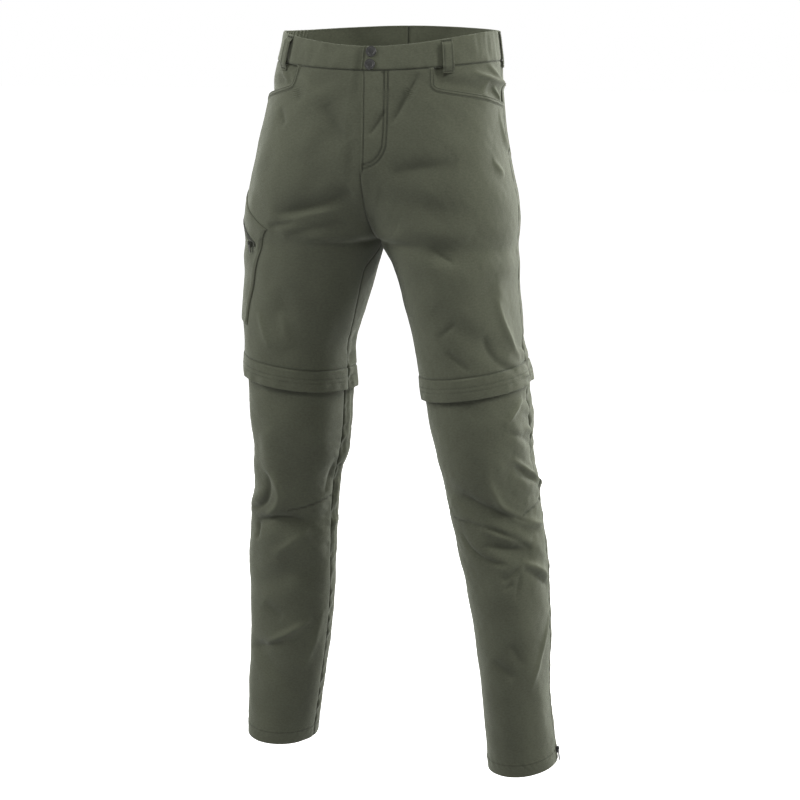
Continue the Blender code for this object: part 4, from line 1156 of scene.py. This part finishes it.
def add_thigh_pocket():
    """A patch round the side seam, with a zip just under its slanted top."""
    (rear, rear_top), (front_top, front_drop), (_, bottom) = THIGH_POCKET
    rows = spaced(170, 1.9)[:, None]
    front = pocket_front(rows)[0]
    around = rear + (front - rear) * spaced(190, 1.9)
    top = rear_top + (front_drop - rear_top) * (around - rear) / (front_top - rear)
    drop = top + (bottom - top) * rows
    scale = quarter(RIGHT, drop)
    to_top, to_front = drop - top, (front - around) * scale
    tack = [(front_top - 0.065, front_drop + 14), (front_top - 0.095, front_drop + 30)]
    zip_line = np.linspace(*THIGH_ZIP, 24)
    off_zip = line_distance(RIGHT, around, drop, zip_line)
    height = PATCH_TOP + ridge(to_front - 5, 0.4, 4) * smooth_step(0, 30, to_top)
    height -= 0.9 * (1 - smooth_step(0, 6, np.minimum(to_top, to_front)))
    height += ridge(off_zip - 6.5, 0.5, 2.2) - 0.5 * np.exp(-((off_zip / 4.2) ** 4))
    dips_and_seam_shade = seam_dip(to_top, 1.3, 1.2) + seam_dip(bottom - drop) + seam_dip((around - rear) * scale)
    dips_and_seam_shade += groove(RIGHT, around, drop, tack, 0.9, 1.2)
    add_cloth("thigh_pocket", RIGHT, around, drop, height, dips_and_seam_shade, PATCH_THICK, held="stretched",
              rests_on=["front_right", "back_right"])
    edges = np.linspace(-0.5, 0.5, 7) * THIGH_ZIP_WIDTH
    add_cloth("thigh_pocket_zip", RIGHT, zip_line[:, :1], zip_line[:, 1:] + edges,
              3.0 - 0.25 * (np.abs(edges) > 3), thick=ZIP_THICK, finish="olive_tape", trim_of="thigh_pocket")
    add_teeth("thigh_pocket_zip_teeth", RIGHT, zip_line[1:-1], 3.1, 1.6, "olive_metal")
    at, down = pocket_front(np.linspace(0.03, 0.97, 30))
    front_line = np.stack([at - 2.0 / 320, down], axis=1)
    lines = [(RIGHT, front_line, PATCH_TOP - 0.2), (RIGHT, tack, PATCH_TOP - 0.1)]
    lines += [(RIGHT, beside(RIGHT, zip_line, offset), PATCH_TOP + 0.3) for offset in (-5.2, 5.2)]
    add_stitches("thigh_pocket_stitches", lines)


# The flap's two rows of stitches: how far below its top edge, and how high over the form
FLAP_STITCHES = {12.5: 1.45, 18.5: 1.8}


def add_knees():
    depth = -CAD_CLOTH - 0.5
    for side, own in NAMES.items():
        around, drop, _ = span(side, rows_down(KNEE_ZIP_TOP, KNEE_ZIP_TOP + 18, 4.0), (-1, 1), 5.0)
        add_cloth(f"knee_zip_{own}", side, around, drop, depth, thick=ZIP_THICK, finish="zip_tape")
        add_teeth(f"knee_zip_{own}_teeth", side, ring_at(KNEE_ZIP_TOP + 12, 60), depth + 0.5, 2.6)

        around, drop, edge = span(side, rows_down(FLAP_TOP, FLAP_END, 1.5), (-1, 1))
        down = edge["top"]
        x = around * quarter(side, drop)
        height = 1.1 * smooth_step(-1.5, 3, down) + 1.4 * smooth_step(2, 26, down)
        height += 0.4 * smooth_step(4, 25, down) * ripple(x, drop * 0.4, 30, 80 + side)
        dips_and_seam_shade = seam_dip(down, 0.9, 1.0) + seam_dip(np.minimum(edge["first"], edge["last"]), 0.8)
        for stitch in FLAP_STITCHES:
            dips_and_seam_shade += seam_dip(down - stitch, 0.4, 0.8)
            height += ridge(down - stitch, 0.14, 3) * ripple(x, 0 * x, 9, 90)
        add_cloth(f"knee_flap_{own}", side, around, drop, height, dips_and_seam_shade, 0.7 + 0.8 * smooth_step(4, 20, down),
                  rests_on=[f"front_{own}", f"back_{own}"])
        add_stitches(f"knee_flap_{own}_stitches",
                     [(side, ring_at(FLAP_TOP + stitch, 70), top) for stitch, top in FLAP_STITCHES.items()])


def add_lower_legs():
    hem = HEM_DROP - HEM_HEIGHT
    drops = np.concatenate([
        rows_down(LOWER_TOP, hem)[:-4], np.arange(hem - 2, HEM_DROP - 2, 1.0),
        HEM_DROP - np.array(EDGE_STEPS)[:4][::-1],
    ])
    for side, own in NAMES.items():
        for half, ends, darts in (("front", (0, 1), DARTS[side]), ("back", (-1, 0), ())):
            around, drop, edge = span(side, drops, ends)
            x = around * quarter(side, drop)
            turned_up = smooth_step(hem - 1, hem + 1, drop)
            height = lower_height(drop) + 0.5 * turned_up
            height += ridge(drop - hem - 3, 0.25, 6) * ripple(x + 0.6 * drop, 0 * x, 11, 120 + side)
            dips_and_seam_shade = sewn(edge, "first", "last") + seam_dip(drop - hem - 2, 0.5, 0.9)
            dips_and_seam_shade += sum(groove(side, around, drop, dart, 1.3, 1.3) for dart in darts)
            add_cloth(f"lower_{half}_{own}", side, around, drop, height, dips_and_seam_shade, CLOTH + 0.9 * turned_up,
                      rests_on=[f"knee_flap_{own}"])
        add_stitches(f"hem_{own}_stitches", [(side, ring_at(hem + 2, 60), 0.25)])


def add_ankle_zips():
    top, depth = HEM_DROP - ANKLE_ZIP_LENGTH, -CAD_CLOTH - 0.8
    for side, own in NAMES.items():
        half = ANKLE_ZIP_WIDTH / 2 / quarter(side, HEM_DROP)
        around, drop, _ = span(side, rows_down(top, HEM_DROP - 1, 4.0), (-half, half), 2.0)
        add_cloth(f"ankle_zip_{own}", side, around, drop, depth, thick=ZIP_THICK, finish="zip_tape",
                  trim_of=f"lower_front_{own}")
        line = [(0, d) for d in np.linspace(top + 4, HEM_DROP - 6, 20)]
        add_teeth(f"ankle_zip_{own}_teeth", side, line, depth + 0.5)


# Hard pieces, modelled in their own frame and then set on the cloth
def frame_on(side, around, drop, height):
    """A matrix that stands on the cloth: X runs round it, Y up it and Z straight out."""
    around, drop = np.array(float(around)), np.array(float(drop))
    place = form(side, around, drop) + form_normal(side, around, drop) * (
        height + folds_height(FOLDS, side, around, drop, 2)
    )
    out = Vector(form_normal(side, around, drop))
    up = Vector(form(side, around, drop - 4) - form(side, around, drop + 4))
    up = (up - out * up.dot(out)).normalized()
    matrix = Matrix((up.cross(out), up, out)).transposed().to_4x4()
    matrix.translation = Vector(place * MM)
    return matrix


def start_block(name, size, centre):
    """A cube primitive at this size and place, ready for edit mode."""
    bpy.ops.object.select_all(action="DESELECT")
    bpy.ops.mesh.primitive_cube_add(size=1, location=Vector(centre) * MM)
    obj = bpy.context.object
    obj.name = name
    obj.scale = Vector(size) * MM
    bpy.ops.object.transform_apply(location=True, rotation=True, scale=True)
    return obj


def pick_faces(obj, wanted):
    """Leaves only the faces selected, in edit mode, that the test on centre and normal accepts."""
    bpy.context.view_layer.objects.active = obj
    bpy.ops.object.mode_set(mode="EDIT")
    bpy.ops.mesh.select_mode(type="FACE")
    bpy.ops.mesh.select_all(action="DESELECT")
    bpy.ops.object.mode_set(mode="OBJECT")
    for face in obj.data.polygons:
        face.select = wanted(face.center / MM, face.normal)
    bpy.ops.object.mode_set(mode="EDIT")


def cut_at(obj, places):
    """Cuts all of the piece across at each place along an axis."""
    bpy.context.view_layer.objects.active = obj
    bpy.ops.object.mode_set(mode="EDIT")
    for axis, place in places:
        normal = Vector([float(k == axis) for k in range(3)])
        bpy.ops.mesh.select_all(action="SELECT")
        bpy.ops.mesh.bisect(plane_co=normal * place * MM, plane_no=normal)
    bpy.ops.object.mode_set(mode="OBJECT")


def bridge_gap(obj, open_below=False):
    """Deletes the selected faces and joins the rims that they leave. A gap open below keeps its feet apart."""
    bpy.ops.mesh.delete(type="FACE")
    bpy.ops.mesh.select_mode(type="EDGE")
    bpy.ops.mesh.select_all(action="DESELECT")
    bpy.ops.mesh.select_non_manifold()
    bpy.ops.object.mode_set(mode="OBJECT")
    for edge in obj.data.edges:
        first, second = (obj.data.vertices[i].co for i in edge.vertices)
        if open_below and abs(first.x - second.x) > 0.1 * MM:
            edge.select = False
    bpy.ops.object.mode_set(mode="EDIT")
    bpy.ops.mesh.bridge_edge_loops()
    bpy.ops.mesh.select_all(action="SELECT")
    bpy.ops.mesh.normals_make_consistent(inside=False)


def round_off(obj, width, segments=3, angle=35):
    """Rounded edges, applied, with smooth shading."""
    bpy.ops.object.mode_set(mode="OBJECT")
    bevel = obj.modifiers.new("edges", "BEVEL")
    bevel.width, bevel.segments, bevel.limit_method = width * MM, segments, "ANGLE"
    bevel.angle_limit = math.radians(angle)
    bpy.context.view_layer.objects.active = obj
    bpy.ops.object.modifier_apply(modifier="edges")
    bpy.ops.object.select_all(action="DESELECT")
    obj.select_set(True)
    bpy.ops.object.shade_smooth_by_angle(angle=math.radians(angle))


def settle(obj, matrix):
    """Puts the place of a finished piece into its mesh."""
    obj.data.transform(matrix)
    obj.matrix_world = Matrix.Identity(4)
    return obj


def add_slider(name, side, around, drop, height, finish="zip_metal"):
    """A slider with its arched bridge, and a pull tab whose crossbar turns under the bridge."""
    seat = frame_on(side, around, drop, height)
    width, length, thick = SLIDER_SIZE
    hinge_height = thick + SEAM_GAP + TAB_THICK / 2
    body = start_block(name + "_slider_body", SLIDER_SIZE, (0, -length / 2, thick / 2))
    cut_at(body, ((1, -2.6), (1, -6.2), (0, -0.8), (0, 0.8)))
    pick_faces(body, lambda centre, normal: centre[1] < -6.2)
    bpy.ops.transform.resize(value=(0.78, 1, 1), center_override=Vector((0, -length, 0)) * MM)
    pick_faces(body, lambda centre, normal: normal[2] > 0.9 and abs(centre[0]) < 0.8 and centre[1] < -6.2)
    bpy.ops.mesh.extrude_region_move(TRANSFORM_OT_translate={"value": (0, 0, 0.15 * MM)})
    round_off(body, 0.35)
    bridge = start_block(name + "_bridge", (1.5, 4.6, 2.6), (0, -1.9, thick + 1.3))
    cut_at(bridge, ((1, -0.25), (1, -3.3), (2, thick + 1.75)))
    pick_faces(bridge, lambda centre, normal: -3.3 < centre[1] < -0.25 and centre[2] < thick + 1.75)
    bridge_gap(bridge, open_below=True)
    round_off(bridge, 0.25)
    bpy.ops.object.select_all(action="DESELECT")
    for part in (bridge, body):
        part.select_set(True)
    bpy.context.view_layer.objects.active = body
    bpy.ops.object.join()
    finish_piece(settle(body, seat), finish, name + "_slider")

    tab_length = TAB_LENGTH[name]
    middle = (0, HINGE_INSET - tab_length / 2, 0)
    tab = start_block(name + "_pull_tab", (TAB_WIDTH, tab_length, TAB_THICK), middle)
    cut_at(tab, ((1, -0.6), (1, -3.9), (1, -5.2), (1, 1.6 - tab_length), (0, -1.2), (0, 1.2)))
    pick_faces(tab, lambda centre, normal: abs(normal[2]) > 0.9 and abs(centre[0]) < 1.2 and -3.9 < centre[1] < -0.6)
    bridge_gap(tab)
    pick_faces(tab, lambda centre, normal: abs(normal[2]) > 0.9 and 1.6 - tab_length < centre[1] < -5.2)
    bpy.ops.mesh.inset(thickness=0.5 * MM)
    bpy.ops.transform.resize(value=(1, 1, 0.72), center_override=(0, 0, 0))
    pick_faces(tab, lambda centre, normal: centre[1] < 1.2 - tab_length)
    bpy.ops.transform.resize(value=(0.7, 1, 1), center_override=(0, 0, 0))
    round_off(tab, 0.28)
    hinge = seat @ Matrix.Translation(Vector((0, -2 * HINGE_INSET, hinge_height)) * MM)
    finish_piece(settle(tab, hinge), finish, name + "_pull", name + "_pull_body")


def add_snap(name, drop):
    """A snap's cap: a turned rim, a valley and a domed middle."""
    bpy.ops.object.select_all(action="DESELECT")
    bpy.ops.mesh.primitive_cylinder_add(vertices=56, radius=SNAP_RADIUS * MM, depth=MM, location=(0, 0, 0.5 * MM))
    snap = bpy.context.object
    snap.name = "snap_" + name + "_cap"
    bpy.ops.object.transform_apply(location=True, rotation=True, scale=True)
    pick_faces(snap, lambda centre, normal: normal[2] > 0.9)
    for inset, rise in ((0.6, 0.75), (1.3, 0.15), (0.5, -0.35), (0.9, -0.25), (0.6, 0.1), (1.6, 0.15)):
        bpy.ops.mesh.inset(thickness=inset * MM)
        bpy.ops.transform.translate(value=(0, 0, rise * MM))
    round_off(snap, 0.25, 3, 20)
    finish_piece(settle(snap, frame_on(LEFT, 1.0, drop, WAISTBAND_PROUD + SEAM_GAP)), "snap_metal", "snap_" + name)


# Stage: floor, camera and lights
def add_stage():
    bpy.ops.object.select_all(action="DESELECT")
    bpy.ops.mesh.primitive_plane_add(size=60, location=(0, 0, -1.13))
    floor = bpy.context.object
    floor.name = "floor"
    material, shader, _ = new_material("pale_floor", (0.8, 0.8, 0.8), 0.9)
    shader.inputs["Emission Color"].default_value = (1, 1, 1, 1)
    shader.inputs["Emission Strength"].default_value = 1.0
    floor.data.materials.append(material)
    floor.visible_diffuse = False

    turn, pitch = math.radians(VIEW_TURN), math.radians(VIEW_PITCH)
    right = Vector((math.cos(turn), math.sin(turn), 0))
    level = Vector((-math.sin(turn), math.cos(turn), 0))
    ahead = level * math.cos(pitch) - Vector((0, 0, 1)) * math.sin(pitch)
    camera = bpy.data.objects.new("camera", bpy.data.cameras.new("camera"))
    bpy.context.scene.collection.objects.link(camera)
    camera.data.sensor_width = SENSOR
    camera.data.lens = VIEW_FOCAL_PIXELS * SENSOR / PICTURE
    camera.location = -level * VIEW_DISTANCE + right * VIEW_ASIDE
    camera.rotation_euler = ahead.to_track_quat("-Z", "Y").to_euler()
    bpy.context.scene.camera = camera

    lights = (
        ("left_side", (-1.9, -0.7, 0.75), 0.5, 1.2, 25),
        ("right_side", (1.95, -0.2, 0.75), 0.5, 1.2, 25),
        ("left_rim", (-1.4, 1.3, 0.3), 0.7, 2.2, 20),
        ("right_rim", (1.2, 1.6, 0.3), 0.6, 2.2, 52),
        ("front_fill", (0.3, -2.0, 1.8), 0.8, 0.6, 17),
    )
    for name, place, wide, tall, power in lights:
        light = bpy.data.lights.new(name, "AREA")
        light.shape, light.size, light.size_y, light.energy = "RECTANGLE", wide, tall, power
        lamp = bpy.data.objects.new(name, light)
        lamp.location = place
        lamp.rotation_euler = (Vector((0, 0, -0.5)) - Vector(place)).to_track_quat("-Z", "Y").to_euler()
        bpy.context.scene.collection.objects.link(lamp)
    world = bpy.data.worlds.new("studio")
    bpy.context.scene.world = world
    world.use_nodes = True
    background = world.node_tree.nodes["Background"]
    background.inputs["Color"].default_value = (1, 1, 1, 1)
    seen = world.node_tree.nodes.new("ShaderNodeLightPath").outputs["Is Camera Ray"]
    strength = world.node_tree.nodes.new("ShaderNodeMapRange")
    strength.inputs["To Min"].default_value, strength.inputs["To Max"].default_value = 0.17, 1.0
    world.node_tree.links.new(seen, strength.inputs["Value"])
    world.node_tree.links.new(strength.outputs[0], background.inputs["Strength"])
    bpy.context.scene.view_settings.view_transform = "Standard"


def declare_sheets():
    for name, (obj, (width, length, area), held, rests_on) in CUTS.items():
        area = min(area, width * length)


add_stage()
add_fronts()
add_backs()
add_waistbands()
add_belt_loops()
add_front_pockets()
add_fly()
add_thigh_pocket()
add_knees()
add_lower_legs()
add_ankle_zips()
for snap_name, snap_drop in zip(("upper", "lower"), SNAP_DROPS):
    add_snap(snap_name, snap_drop)
add_slider("thigh_pocket", RIGHT, *THIGH_SLIDER_PLACE, THIGH_ZIP_TOP + SEAM_GAP, "olive_metal")
for leg in SIDES:
    add_slider("ankle_" + NAMES[leg], leg, 0.0, ANKLE_SLIDER_DROP, 0.8)
declare_sheets()
